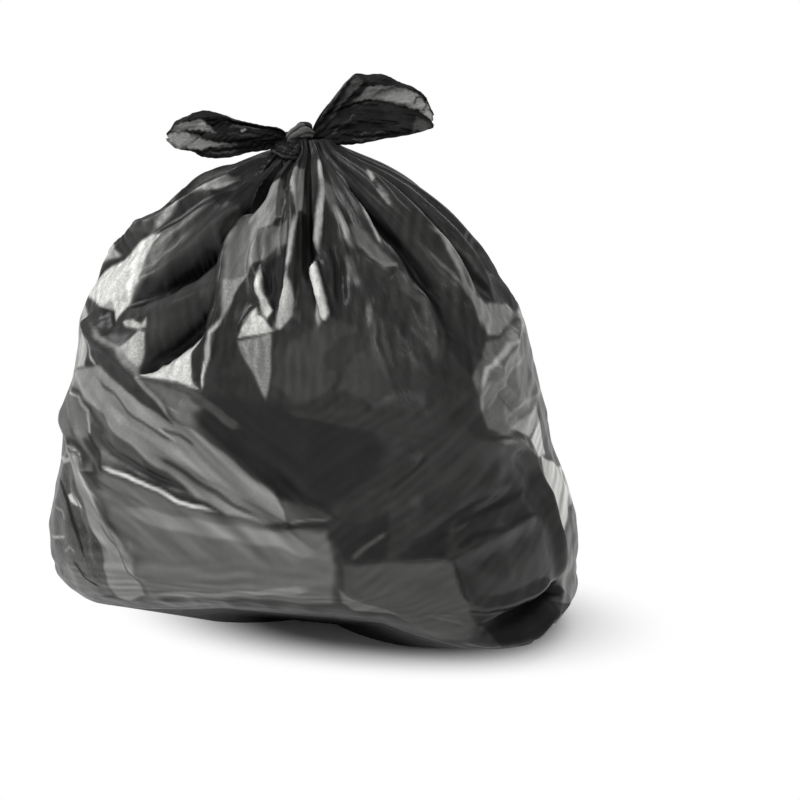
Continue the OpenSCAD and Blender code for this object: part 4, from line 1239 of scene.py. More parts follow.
@dataclass
class SackBody:
    """The wall and underside of the filled sack, one closed sheet up to the neck."""

    form: BodyForm = field(default_factory=BodyForm)
    coarse_rows: int = 124
    coarse_front: int = 136
    coarse_back: int = 64
    rows: int = 264
    front_columns: int = 360
    back_columns: int = 128
    slack_from: float = 0.5
    slack_blend: float = 0.25
    slack_span: float = 0.42
    slack_power: float = 1.5
    slack_foot: float = 0.006
    slack_top: float = 0.11
    fold_slack: float = 1.002
    rise_own: float = 0.9
    rise_slack: float = 1.001
    taut_foot: float = -0.006
    start_waves: float = 0.8
    wave_count: int = 60
    wave_most: int = 24
    held_share: float = 0.85
    sink_foot: float = 3.0
    sink_neck: float = 30.0
    sink_from: float = 0.62
    sink_span: float = 0.3
    sink_power: float = 1.2
    free_depth: float = 40.0
    fine_slack: float = 0.0009
    fine_taut: float = 0.0004
    evening: int = 3
    crease_share: float = 0.26
    crease_width: float = 0.34
    crease_power: float = 1.15
    crease_reach: float = 5.0
    crease_taut: float = 0.15
    least_reach: float = 9.0
    loose_above: float = 0.40
    loose_over: float = 0.24
    buckle: float = 0.75
    rounding: int = 5
    sharpening: float = 0.2
    facet_depth: float = 3.0
    facet_foot: float = 30.0
    facet_neck: float = 0.97
    facet_fade: float = 0.25
    facet_stretch: tuple[float, float, float] = (1, 1, 0.8)
    ripple_depth: float = 0.22
    ripple_shading: float = 0.075
    ripple_ways: tuple[float, ...] = (90.0, 3.0, 36.0, -33.0)
    ripple_waves: int = 16
    least_scale: float = 12.0
    ripple_middle: float = 285.0
    plain_crumple: float = 0.1
    valley_depth: float = 40.0
    valley_shade: float = 0.35
    under_shares: tuple[float, ...] = (1.0, 0.75, 0.5, 0.25, 0.08)
    back_strength: float = 0.6

    def coarse(self) -> np.ndarray:
        """The film on a coarse grid, where the large wrinkles form."""
        heights = self.form.row_heights(self.coarse_rows)
        angles = self.form.column_angles(self.coarse_front, self.coarse_back)
        base, normal = self.form.wall(angles, heights)
        layer = FoldLayer(self.form)
        placed = layer.heights(angles, heights) * layer.reach_factor(base)
        goal = base + normal * placed[..., None]
        share = heights / self.form.height
        loose = np.clip((share - self.slack_from) / self.slack_blend, 0, 1)
        climb = np.clip((share - self.slack_from) / self.slack_span, 0, 1) ** self.slack_power
        slack = self.slack_foot + (self.slack_top - self.slack_foot) * climb
        smooth_round = round_steps(base).sum(1)
        folded_round = round_steps(goal).sum(1)
        wide = np.maximum(smooth_round * (1 + slack), folded_round * self.fold_slack)
        girth = loose * wide + (1 - loose) * folded_round * (1 + self.taut_foot)
        ring = round_steps(base)
        ring = ring / ring.sum(1, keepdims=True) * girth[:, None]
        rise = rise_steps(goal)
        row_mean = rise.mean(1, keepdims=True)
        rise = (self.rise_own * rise + (1 - self.rise_own) * row_mean) * self.rise_slack
        climb = np.clip((share - self.sink_from) / self.sink_span, 0, 1) ** self.sink_power
        sink = self.sink_foot + self.sink_neck * climb
        depth = np.maximum(sink[:, None], 1 - np.minimum(placed, 0))
        depth = np.where(placed > 1, np.minimum(depth, 0.5 - placed * self.held_share), depth)
        waves = round_waves(placed.shape, self.wave_count, self.wave_most) * self.start_waves
        waves[:2] = 0
        waves[-2:] = 0
        start = goal + normal * waves[..., None]
        columns = self.coarse_front + self.coarse_back
        relaxer = FilmRelaxer(self.coarse_rows, columns, passes=150, goal=0.02, stiff=0.5)
        return relaxer.run(start, ring, rise, base, normal, depth)

    def fine(self, coarse: np.ndarray) -> tuple[np.ndarray, np.ndarray]:
        """The film on the fine grid, with the small wrinkles and sharp crease lines.

        Args:
            coarse: The relaxed coarse grid.

        Returns:
            Points of the wall, and the fold heights there.
        """
        front = np.arange(self.front_columns) * self.coarse_front / self.front_columns
        back = np.arange(self.back_columns) * self.coarse_back / self.back_columns
        at = np.concatenate([front, self.coarse_front + back])
        grid = finer(coarse, self.rows, at)
        heights = self.form.row_heights(self.rows)
        angles = self.form.column_angles(self.front_columns, self.back_columns)
        base, normal = self.form.wall(angles, heights)
        for _ in range(2):
            round_mean = (np.roll(grid, 1, 1) + np.roll(grid, -1, 1)) / 2
            grid[1:-1] = (grid[1:-1] * 2 + round_mean[1:-1] + (grid[:-2] + grid[2:]) / 2) / 4
        layer = FoldLayer(self.form)
        factor = layer.reach_factor(base)
        placed = layer.heights(angles, heights, least=self.least_reach) * factor
        share = heights / self.form.height
        loose = smooth((share - self.loose_above) / self.loose_over)[:, None, None]
        taut = base + normal * placed[..., None]
        buckles = grid - taut
        for _ in range(self.rounding):
            buckles = (np.roll(buckles, 1, 1) + np.roll(buckles, -1, 1) + 2 * buckles) / 4
            buckles[1:-1] = (buckles[:-2] + 2 * buckles[1:-1] + buckles[2:]) / 4
        grid = taut + buckles * loose * self.buckle
        crease = layer.heights(angles, heights, self.crease_power, self.crease_width,
                               self.crease_reach)
        gain = self.crease_taut + (1 - self.crease_taut) * loose[..., 0]
        crease = crease * factor * self.crease_share * gain
        large = Creases(length=95.0, depth=self.facet_depth, count=7, seed=5)
        small = Creases(length=36.0, depth=self.facet_depth * 0.3, count=8, seed=6)
        facets = large.heights(base, self.facet_stretch)
        facets += small.heights(base, self.facet_stretch)
        facets += self.ripple_depth * self.ripples(angles, heights)
        fade = smooth(heights / self.facet_foot)
        fade = fade * smooth((self.facet_neck - share) / self.facet_fade)
        grid = grid + normal * (crease + facets * fade[:, None])[..., None]
        for k in range(self.evening):
            even = (np.roll(grid, 1, 1) + np.roll(grid, -1, 1) + 2 * grid) / 4
            even[1:-1] = (even[:-2] + 2 * even[1:-1] + even[2:]) / 4
            held = 0.0 if k == 0 else loose
            grid = grid * held + even * (1 - held)
        columns = self.front_columns + self.back_columns
        relaxer = FilmRelaxer(self.rows, columns, passes=9, goal=0.03, stiff=0.5)
        slack = self.fine_taut + (self.fine_slack - self.fine_taut) * loose[..., 0]
        ring = round_steps(grid) * (1 + slack)
        rise = rise_steps(grid) * (1 + slack)
        depth = np.full(ring.shape, self.sink_foot + self.sink_neck + self.free_depth)
        grid = relaxer.run(grid, ring, rise, base, normal, depth)
        bend = (np.roll(grid, 1, 1) + np.roll(grid, -1, 1) - 2 * grid)[1:-1]
        grid[1:-1] += bend * self.sharpening
        grid[1:-1] += (grid[:-2] + grid[2:] - 2 * grid[1:-1]) * self.sharpening
        return grid, placed

    def ripples(self, angles: np.ndarray, heights: np.ndarray) -> np.ndarray:
        """Long soft ripples that run the way the film is pulled, with a spread of 1.

        Args:
            angles: Angles of the grid columns in degrees.
            heights: Heights of the grid rows in mm.

        Returns:
            The ripples, rows by columns.
        """
        share = (heights / self.form.height)[:, None]
        scale = np.radians(np.maximum(self.form.mean_radius(share), self.least_scale))
        turn = turned(angles - self.ripple_middle)[None]
        x = turn * scale
        y = self.form.walk(heights)[:, None] + 0 * x
        up = smooth((share - 0.48) / 0.14) + 0 * x
        low = smooth((115.0 - heights[:, None]) / 25) * smooth((20 - turn) / 10) * (1 - up)
        right = smooth(turn / 14) * (1 - up) * (1 - low)
        masks = (up, low, right, (1 - up) * (1 - low) * (1 - smooth(turn / 14)))
        total = np.zeros(x.shape)
        draw = np.random.default_rng(SEED + 3)
        for mask, way in zip(masks, self.ripple_ways):
            c, s = math.cos(math.radians(way)), math.sin(math.radians(way))
            along, across = x * c + y * s, y * c - x * s
            part = np.zeros(x.shape)
            for _ in range(self.ripple_waves):
                width = 10 ** draw.uniform(0.85, 1.8)
                long = 2 * np.pi * along / (width * draw.uniform(6, 15))
                phase = draw.uniform(0, 2 * np.pi, 3)
                sway = 1.4 * np.sin(long + phase[0])
                gain = 0.6 + 0.4 * np.sin(0.6 * long + phase[1])
                part += gain * np.sin(2 * np.pi * across / width + sway + phase[2])
            total += mask * part / 2
        return total

    def painted_angles(self, angles: np.ndarray) -> tuple[np.ndarray, np.ndarray]:
        """Angles at which the marks are read, and their strength.

        The front is read as it is. The back, which the photograph doesn't show, is given
        the front's marks mirrored and weaker.

        Args:
            angles: Angles of the grid columns.

        Returns:
            The angle to read the marks at, and the marks' strength there.
        """
        left, right = self.form.front
        behind = angles > right
        mirrored = turned(720.0 - angles - 270.0) + 270.0
        from_edge = np.minimum(np.abs(turned(angles - left)), np.abs(turned(angles - right)))
        strength = np.where(behind, self.back_strength * smooth((from_edge - 12) / 24), 1.0)
        return np.where(behind, mirrored, angles), strength

    def marks(self, placed: np.ndarray) -> np.ndarray:
        """Root of the tone, crumple and calm of every point of the wall.

        Args:
            placed: Heights of the placed folds.

        Returns:
            Three marks per point, rows by columns by 3.
        """
        heights = self.form.row_heights(self.rows)
        given = self.form.column_angles(self.front_columns, self.back_columns)
        angles, strength = self.painted_angles(given)
        walks = self.form.walk(heights)
        radius = self.form.mean_radius(heights / self.form.height)
        scale = np.radians(np.maximum(radius, self.least_scale))
        tone = np.full(placed.shape, math.sqrt(Tone.PLAIN.value))
        crumple = np.full(placed.shape, self.plain_crumple)
        calm = np.zeros(placed.shape)
        view = PhotoView(self.form)
        for mark in PAINTED_LIGHT_PATCHES + PAINTED_LIGHT_STREAKS:
            a, up = view.places(mark)
            up = self.form.walk(up)
            rows = np.flatnonzero((walks > up.min() - 14) & (walks < up.max() + 14))
            columns = np.flatnonzero((angles > a.min() - 5) & (angles < a.max() + 5))
            if not len(rows) or not len(columns):
                continue
            wide = scale[rows][:, None]
            x = angles[columns][None] * wide
            y = walks[rows][:, None] + np.zeros_like(x)
            x = x + 0.8 * np.sin(0.13 * y + 0.05 * x) + 0.12 * np.sin(0.34 * y - 0.1 * x)
            y = y + 0.8 * np.sin(0.11 * x + 2.0) + 0.12 * np.sin(0.31 * x + 0.1 * y)
            cover = mark.cover(x, y, [v * wide for v in a], list(up))
            cover = cover * strength[columns][None]
            spot = np.ix_(rows, columns)
            tone[spot] += (math.sqrt(mark.tone.value) - tone[spot]) * cover
            crumple[spot] += (mark.crumple - crumple[spot]) * cover
            still = float(mark.tone not in (Tone.SOFT, Tone.GREY, Tone.LIGHT))
            calm[spot] += (still - calm[spot]) * cover
        # Painted shade: the tone is darker in the valleys of the placed folds.
        tone *= 1 - np.clip(-placed / self.valley_depth, 0, self.valley_shade)
        # Painted light and shade: the tone goes lighter and darker along the ripples.
        tone *= np.clip(1 + self.ripple_shading * self.ripples(given, heights), 0.5, 1.5)
        return np.stack([tone, crumple, calm], -1)

    def build(self, material: bpy.types.Material) -> list[bpy.types.Object]:
        """Relax the film, close it under the sack and make its two panels.

        Args:
            material: The film.

        Returns:
            The front panel and the back one.
        """
        wall, placed = self.fine(self.coarse())
        under = self.form.under(wall[0], self.under_shares)
        grid = np.concatenate([under, wall])
        # Painted shade: the underside is painted black and calm.
        shade = np.zeros(under.shape)
        shade[..., 0] = math.sqrt(Tone.BLACK.value)
        shade[..., 2] = 1.0
        marks = np.concatenate([shade, self.marks(placed)])
        round_way = np.roll(grid, -1, 1) - np.roll(grid, 1, 1)
        normals = unit(np.cross(round_way, np.gradient(grid, axis=0)))
        columns = self.front_columns + self.back_columns
        front = np.arange(self.front_columns + 1)
        back = np.arange(self.front_columns, columns + 1) % columns
        pieces = []
        for name, chosen in (("film_front", front), ("film_back", back)):
            piece = self.panel(name, grid[:, chosen], marks[:, chosen], normals[:, chosen])
            dress(piece, material)
            pieces.append(piece)
        return pieces

    @staticmethod
    def panel(name: str, grid: np.ndarray, marks: np.ndarray,
              normals: np.ndarray) -> bpy.types.Object:
        """Part of the sack's film, with its share of the two end caps.

        Args:
            name: Name of the piece.
            grid: Points, rows by columns by 3.
            marks: Marks of the points.
            normals: Normals of the whole film at the points, so that no seam shows.

        Returns:
            The new object.
        """
        rows, columns, _ = grid.shape
        index = np.arange(rows * columns).reshape(rows, columns)
        faces = sheet_faces(index, marks)
        foot, neck = rows * columns, rows * columns + 1
        faces += [[foot, int(b), int(a)] for a, b in zip(index[0], index[0, 1:])]
        faces += [[neck, int(a), int(b)] for a, b in zip(index[-1], index[-1, 1:])]
        ends = [[0.0, 0.0, 0.0], [0.0, 0.0, grid[-1, :, 2].mean()]]
        points = np.concatenate([grid.reshape(-1, 3), ends])
        shades = np.concatenate([marks.reshape(-1, 3), np.zeros((2, 3))])
        piece = make_mesh(name, points, faces, shades)
        ways = np.concatenate([normals.reshape(-1, 3), [[0, 0, -1.0], [0, 0, 1.0]]])
        piece.data.normals_split_custom_set_from_vertices(ways.tolist())
        return piece


@dataclass(frozen=True)
class KnotFrame:
    """The knot's own axes: x along the line of the ears, y away from the viewer, z up."""

    turn: float = 20.0
    height: float = 484.0

    def place(self, points: np.ndarray) -> np.ndarray:
        """Points of the knot's frame in the form's coordinates.

        Args:
            points: Points in mm, with 3 as the last axis.

        Returns:
            The turned and lifted points.
        """
        a = math.radians(self.turn)
        x = points[..., 0] * math.cos(a) - points[..., 1] * math.sin(a)
        y = points[..., 0] * math.sin(a) + points[..., 1] * math.cos(a)
        return np.stack([x, y, points[..., 2] + self.height], -1)


def curve_through(stops: np.ndarray, count: int) -> np.ndarray:
    """Smooth curve through given points.

    Args:
        stops: The points, one a row, of any width.
        count: How many points the curve gets.

    Returns:
        The curve's points.
    """
    padded = np.vstack([2 * stops[0] - stops[1], stops, 2 * stops[-1] - stops[-2]])
    u = np.linspace(0, len(stops) - 1, count)
    i = np.clip(np.floor(u).astype(int), 0, len(stops) - 2)
    return blend([padded[i + k] for k in range(4)], (u - i)[:, None])


@dataclass(frozen=True)
class Strand:
    """A pleated strand of gathered film: stops of (x, y, z, radius) in the knot's frame."""

    name: str
    stops: tuple[tuple[float, float, float, float], ...]
    pleats: int
    pleat_depth: float
    twist: float
    flatness: float
    tone: Tone
    steps: int = 90
    sides: int = 120

    def mesh_data(self) -> tuple[np.ndarray, list, np.ndarray]:
        """The strand's mesh, closed at both ends.

        Returns:
            Points, faces, and the marks of the points.
        """
        curve = curve_through(np.array(self.stops, float), self.steps)
        path, radius = curve[:, :3], curve[:, 3]
        tangent = unit(np.gradient(path, axis=0))
        side = np.zeros_like(path)
        side[0] = unit(np.cross(tangent[0], [0.13, 0.21, 1.0]))
        for k in range(1, self.steps):
            side[k] = unit(side[k - 1] - tangent[k] * (side[k - 1] @ tangent[k]))
        other = np.cross(tangent, side)
        a = np.arange(self.sides) / self.sides * 2 * np.pi
        s = np.linspace(0, 1, self.steps)[:, None]
        phase = self.pleats * a[None] / 2 + self.twist * s * 2 * np.pi
        uneven = 0.6 + 0.4 * np.sin(3 * a[None] + 5 * s)
        r = radius[:, None] * (1 - self.pleat_depth * uneven * (1 - np.abs(np.sin(phase))))
        x = (r * np.cos(a))[..., None] * side[:, None]
        y = (r * np.sin(a) * self.flatness)[..., None] * other[:, None]
        points = path[:, None] + x + y
        out = unit(x + y)
        even = (1.0, 1.0, 1.0)
        crumple = Creases(length=20.0, depth=1.3, count=8, seed=11).heights(points, even)
        crumple += Creases(length=8.0, depth=0.25, count=8, seed=12).heights(points, even)
        points = points + out * crumple[..., None]
        index = np.arange(self.steps * self.sides).reshape(self.steps, self.sides)
        low, high = index[:-1], index[1:]
        quads = np.stack([low, np.roll(low, -1, 1), np.roll(high, -1, 1), high], -1)
        faces = quads.reshape(-1, 4).tolist()
        count = index.size
        ends = [path[0] - tangent[0] * radius[0] * 0.3, path[-1] + tangent[-1] * radius[-1] * 0.3]
        first = [[count, int(q), int(p)] for p, q in zip(index[0], np.roll(index[0], -1))]
        last = [[count + 1, int(p), int(q)] for p, q in zip(index[-1], np.roll(index[-1], -1))]
        points = np.concatenate([points.reshape(-1, 3), ends])
        # Painted shade: the tone is darker in the pleats' hollows.
        pleat_shade = np.clip(1 - np.abs(np.sin(phase)), 0, 1) ** 2
        tone = math.sqrt(self.tone.value) * (1 - 0.7 * pleat_shade)
        marks = np.stack([tone, np.full(r.shape, 0.15), pleat_shade * 0.8], -1)
        marks = np.concatenate([marks.reshape(-1, 3), np.zeros((2, 3))])
        return points, faces + first + last, marks


@dataclass
class Knot:
    """The overhand knot: a loop round the neck, a strand over it and the gathers beside it."""

    frame: KnotFrame = field(default_factory=KnotFrame)
    centre: tuple[float, float, float] = (-12.0, -6.0, -14.0)
    loop_r: float = 16.0
    loop_t: float = 13.5
    strands: tuple[Strand, ...] = (
        Strand("knot_ball", ((-34, -4, -30, 8), (-27, -12, -24, 14), (-17, -15, -17, 16.5),
            (-8, -12, -9, 14), (-2, -4, -2, 8)), 9, 0.3, 0.6, 0.9, Tone.BLACK),
        # The lump's grey is painted light through thin film.
        Strand("knot_lump", ((-20, -6, 0, 6), (-14, -8, 4, 9), (-6, -6, 6, 9.5),
            (1, -3, 3, 6)), 6, 0.28, 0.4, 0.9, Tone.GREY),
        Strand("knot_cap", ((-13, -4, 11, 3), (-8, -4, 13, 4.5), (-3, -3, 12.5, 4.5),
            (0, -2, 9, 3)), 4, 0.25, 0.3, 0.9, Tone.BLACK),
        Strand("knot_gather", ((-22, -8, -10, 8), (-33, -17, -18, 10), (-42, -27, -26, 8),
            (-54, -42, -40, 3)), 8, 0.42, 0.3, 0.75, Tone.DARK),
        Strand("neck_twist", ((12, -2, -36, 17), (13, -2, -20, 12.5), (13, -1, -9, 9),
            (14, 0, 0, 6)), 13, 0.3, 0.25, 0.95, Tone.DARK),
    )

    def loop(self) -> Strand:
        """The strand that binds the neck, as a ring that dips towards the front."""
        stops = []
        for k in range(13):
            a = 2 * math.pi * k / 12
            x, y, z = self.centre
            x += self.loop_r * math.cos(a)
            y += self.loop_r * 0.9 * math.sin(a)
            z += self.loop_r * (0.33 * math.sin(a) - 0.17 * math.cos(a))
            stops.append((x, y, z, self.loop_t * (1 + 0.1 * math.cos(3 * a))))
        return Strand("knot_loop", tuple(stops), 8, 0.3, 1.0, 0.95, Tone.BLACK, 120)

    def build(self, material: bpy.types.Material) -> list[bpy.types.Object]:
        """Make and dress every strand of the knot.

        Args:
            material: The film.

        Returns:
            The strands' objects.
        """
        pieces = []
        for strand in (self.loop(),) + self.strands:
            points, faces, marks = strand.mesh_data()
            piece = make_mesh(strand.name, self.frame.place(points), faces, marks)
            dress(piece, material)
            pieces.append(piece)
        return pieces


@dataclass(frozen=True)
class Ear:
    """A loose end of the mouth: a flat pouch of film, open at its tip.

    The outline rows are (column, low edge, high edge, mouth edge of the front sheet, depth
    of the rim that curls over). The rim is in mm. The rest, and the marks' points, are in
    pixels of the photograph's 800 x 800 frame, where the neck is at neck_x and the knot's
    middle at knot_y.
    """

    name: str
    side: EarSide
    outline: tuple[tuple[float, float, float, float, float], ...]
    marks: tuple[Patch | Streak, ...]
    front_marks: tuple[Patch | Streak, ...]
    puff: float
    wave: float
    phase: float
    pleats: int
    pleat_depth: float = 5.0
    overlap: float = 1.7
    root_shift: float = -2.5
    neck_x: float = 312.0
    knot_y: float = 137.3
    pixels_across: float = 1.018
    mm_up: float = 1.004
    along: int = 150
    across: int = 230
    fold_at: float = 0.42
    rim_at: float = 0.86

    def distance(self, x: float) -> int:
        """Distance from the neck in mm of a column of the picture."""
        across = (x - self.neck_x) / self.pixels_across - self.root_shift
        return round(self.side.value * across)

    def level(self, y: float) -> float:
        """Height above the knot's middle in mm of a row of the picture."""
        return (self.knot_y - y) * self.mm_up

    def rows(self) -> np.ndarray:
        """The outline rows in mm."""
        return np.array([
            [self.distance(x)] + [round(self.level(y), 1) for y in edges] + [rim]
            for x, *edges, rim in self.outline])

    def paint(self, dist: np.ndarray, z: np.ndarray, sheet: np.ndarray) -> np.ndarray:
        """Tone, crumple and calm of the pouch's points.

        Args:
            dist: Distances of the points from the neck.
            z: Heights of the points.
            sheet: 1 on the front sheet, 0 on the back one and the rim.

        Returns:
            Three marks per point.
        """
        tone = np.full(z.shape, math.sqrt(Tone.BLACK.value))
        crumple = np.full(z.shape, 0.3)
        x = dist + 0.6 * np.sin(0.8 * z + 0.2 * dist)
        y = z + 0.6 * np.sin(0.5 * dist + 1.0) + 0.4 * np.sin(1.1 * dist)
        # The marks paint light through thin film in pale patches and painted shade in dark streaks.
        for marks, seen in ((self.marks, 1 - sheet), (self.front_marks, sheet)):
            for mark in marks:
                px = [self.distance(x_read) for x_read, _ in mark.points]
                py = [round(self.level(y_read)) for _, y_read in mark.points]
                share = mark.cover(x, y, px, py) * seen
                tone += (math.sqrt(mark.tone.value) - tone) * share
                crumple += (mark.crumple - crumple) * share
        calm = 1 - smooth((tone - 0.1) / 0.1)
        return np.stack([tone, crumple, calm], -1)

    def mesh_data(self) -> tuple[np.ndarray, list, np.ndarray]:
        """The pouch's mesh.

        Returns:
            Points, faces, and the marks of the points.
        """
        rows = curve_through(self.rows(), self.along)
        dist, low, high = rows[:, 0:1], rows[:, 1:2], rows[:, 2:3]
        mouth, rim = rows[:, 3:4], np.maximum(rows[:, 4:5], 0.5)
        u = np.linspace(0, 1, self.along)[:, None]
        v = np.linspace(0, 1, self.across)[None]
        turns = 2 * np.pi * self.pleats
        lap = self.overlap * (1 - 0.75 * smooth(u * 1.3))
        w = np.clip(v + lap / turns * np.sin(turns * v + 1.5 * np.sin(3 * v + 2 * u)), 0, 1)
        front = np.clip(w / self.fold_at, 0, 1)
        back = np.clip((w - self.fold_at) / (self.rim_at - self.fold_at), 0, 1)
        curl = np.clip((w - self.rim_at) / (1 - self.rim_at), 0, 1)
        z = mouth + (low - mouth) * front + (high - low) * back - rim * curl
        opening = np.sin(np.pi * np.clip(u * 1.1, 0, 1)) ** 0.6
        thick = self.puff * (0.25 + 0.75 * opening)
        y_front = -thick * np.sin(np.pi * (0.12 + 0.88 * front)) ** 0.8
        y_back = thick * 0.7 * np.sin(np.pi * back) ** 0.8
        y_rim = -thick * 0.5 * np.sin(np.pi * 0.5 * curl)
        y = np.where(w < self.fold_at, y_front, np.where(w < self.rim_at, y_back, y_rim))
        gather = self.pleat_depth * (1 - smooth(u * 1.15)) + 0.8
        folds = np.abs(np.sin(self.pleats * np.pi * v + 0.6 * np.sin(4 * u + 7 * v)))
        fan = 1 - 0.5 * smooth(u * 3)
        y = y + gather * (folds - 0.5) * (1 + 0.4 * np.sin(9 * v)) * fan
        level = (z - low) / np.maximum(high - low, 1.0)
        y = y + self.wave * np.sin(np.pi * u) * np.sin(4.2 * level + self.phase)
        ragged = 0.7 * np.sin(17 * v + 1) + 0.5 * np.sin(41 * v)
        x = dist + ragged * smooth((u - 0.8) * 5)
        points = np.stack([x * self.side.value + self.root_shift, y, z], -1)
        big = Creases(length=26.0, depth=3.4, count=8, seed=21)
        big = big.heights(points, (0.35, 1.0, 1.0))
        small = Creases(length=9.0, depth=1.0, count=9, seed=22)
        small = small.heights(points, (0.6, 1.0, 1.0))
        hold = smooth(u * 6)
        points[..., 1] += (big + small) * hold
        points[..., 2] += small * 0.5 * hold
        marks = self.paint(x + 0 * z, z, np.where(w < self.fold_at, 1.0, 0.0))
        # Painted shade: the tone is darker in the pleats' hollows, most near the root.
        pleat_shade = (1 - folds) ** 2 * (1 - smooth(u * 1.4))
        marks[..., 0] *= 1 - 0.6 * pleat_shade
        index = np.arange(self.along * self.across).reshape(self.along, self.across)
        faces = sheet_faces(index, marks)
        return points.reshape(-1, 3), faces, marks.reshape(-1, 3)

    def build(self, frame: KnotFrame, material: bpy.types.Material) -> bpy.types.Object:
        """Make and dress the ear.

        Args:
            frame: The knot's own axes.
            material: The film.

        Returns:
            The ear's object.
        """
        points, faces, marks = self.mesh_data()
        piece = make_mesh(self.name, frame.place(points), faces, marks)
        dress(piece, material)
        return piece


# Painted light on the left ear: light through the thin film at its tip and mouth.
LEFT_TIP_LIGHT = Patch(Tone.LIGHT, 0.3, 3, ((172, 130), (180, 122), (190, 120), (197, 119), (204, 118),
    (210, 124), (219, 131), (205, 130), (188, 130.5), (180, 131)))
LEFT_MOUTH_LIGHT = Patch(Tone.LIGHT, 0.3, 3, ((167, 135), (175, 131), (185, 131.5), (195, 134),
    (205, 137), (215, 140), (230, 142), (236, 143), (225, 145), (212, 146), (202, 149), (195, 147),
    (187, 146), (180, 148), (171, 143)))

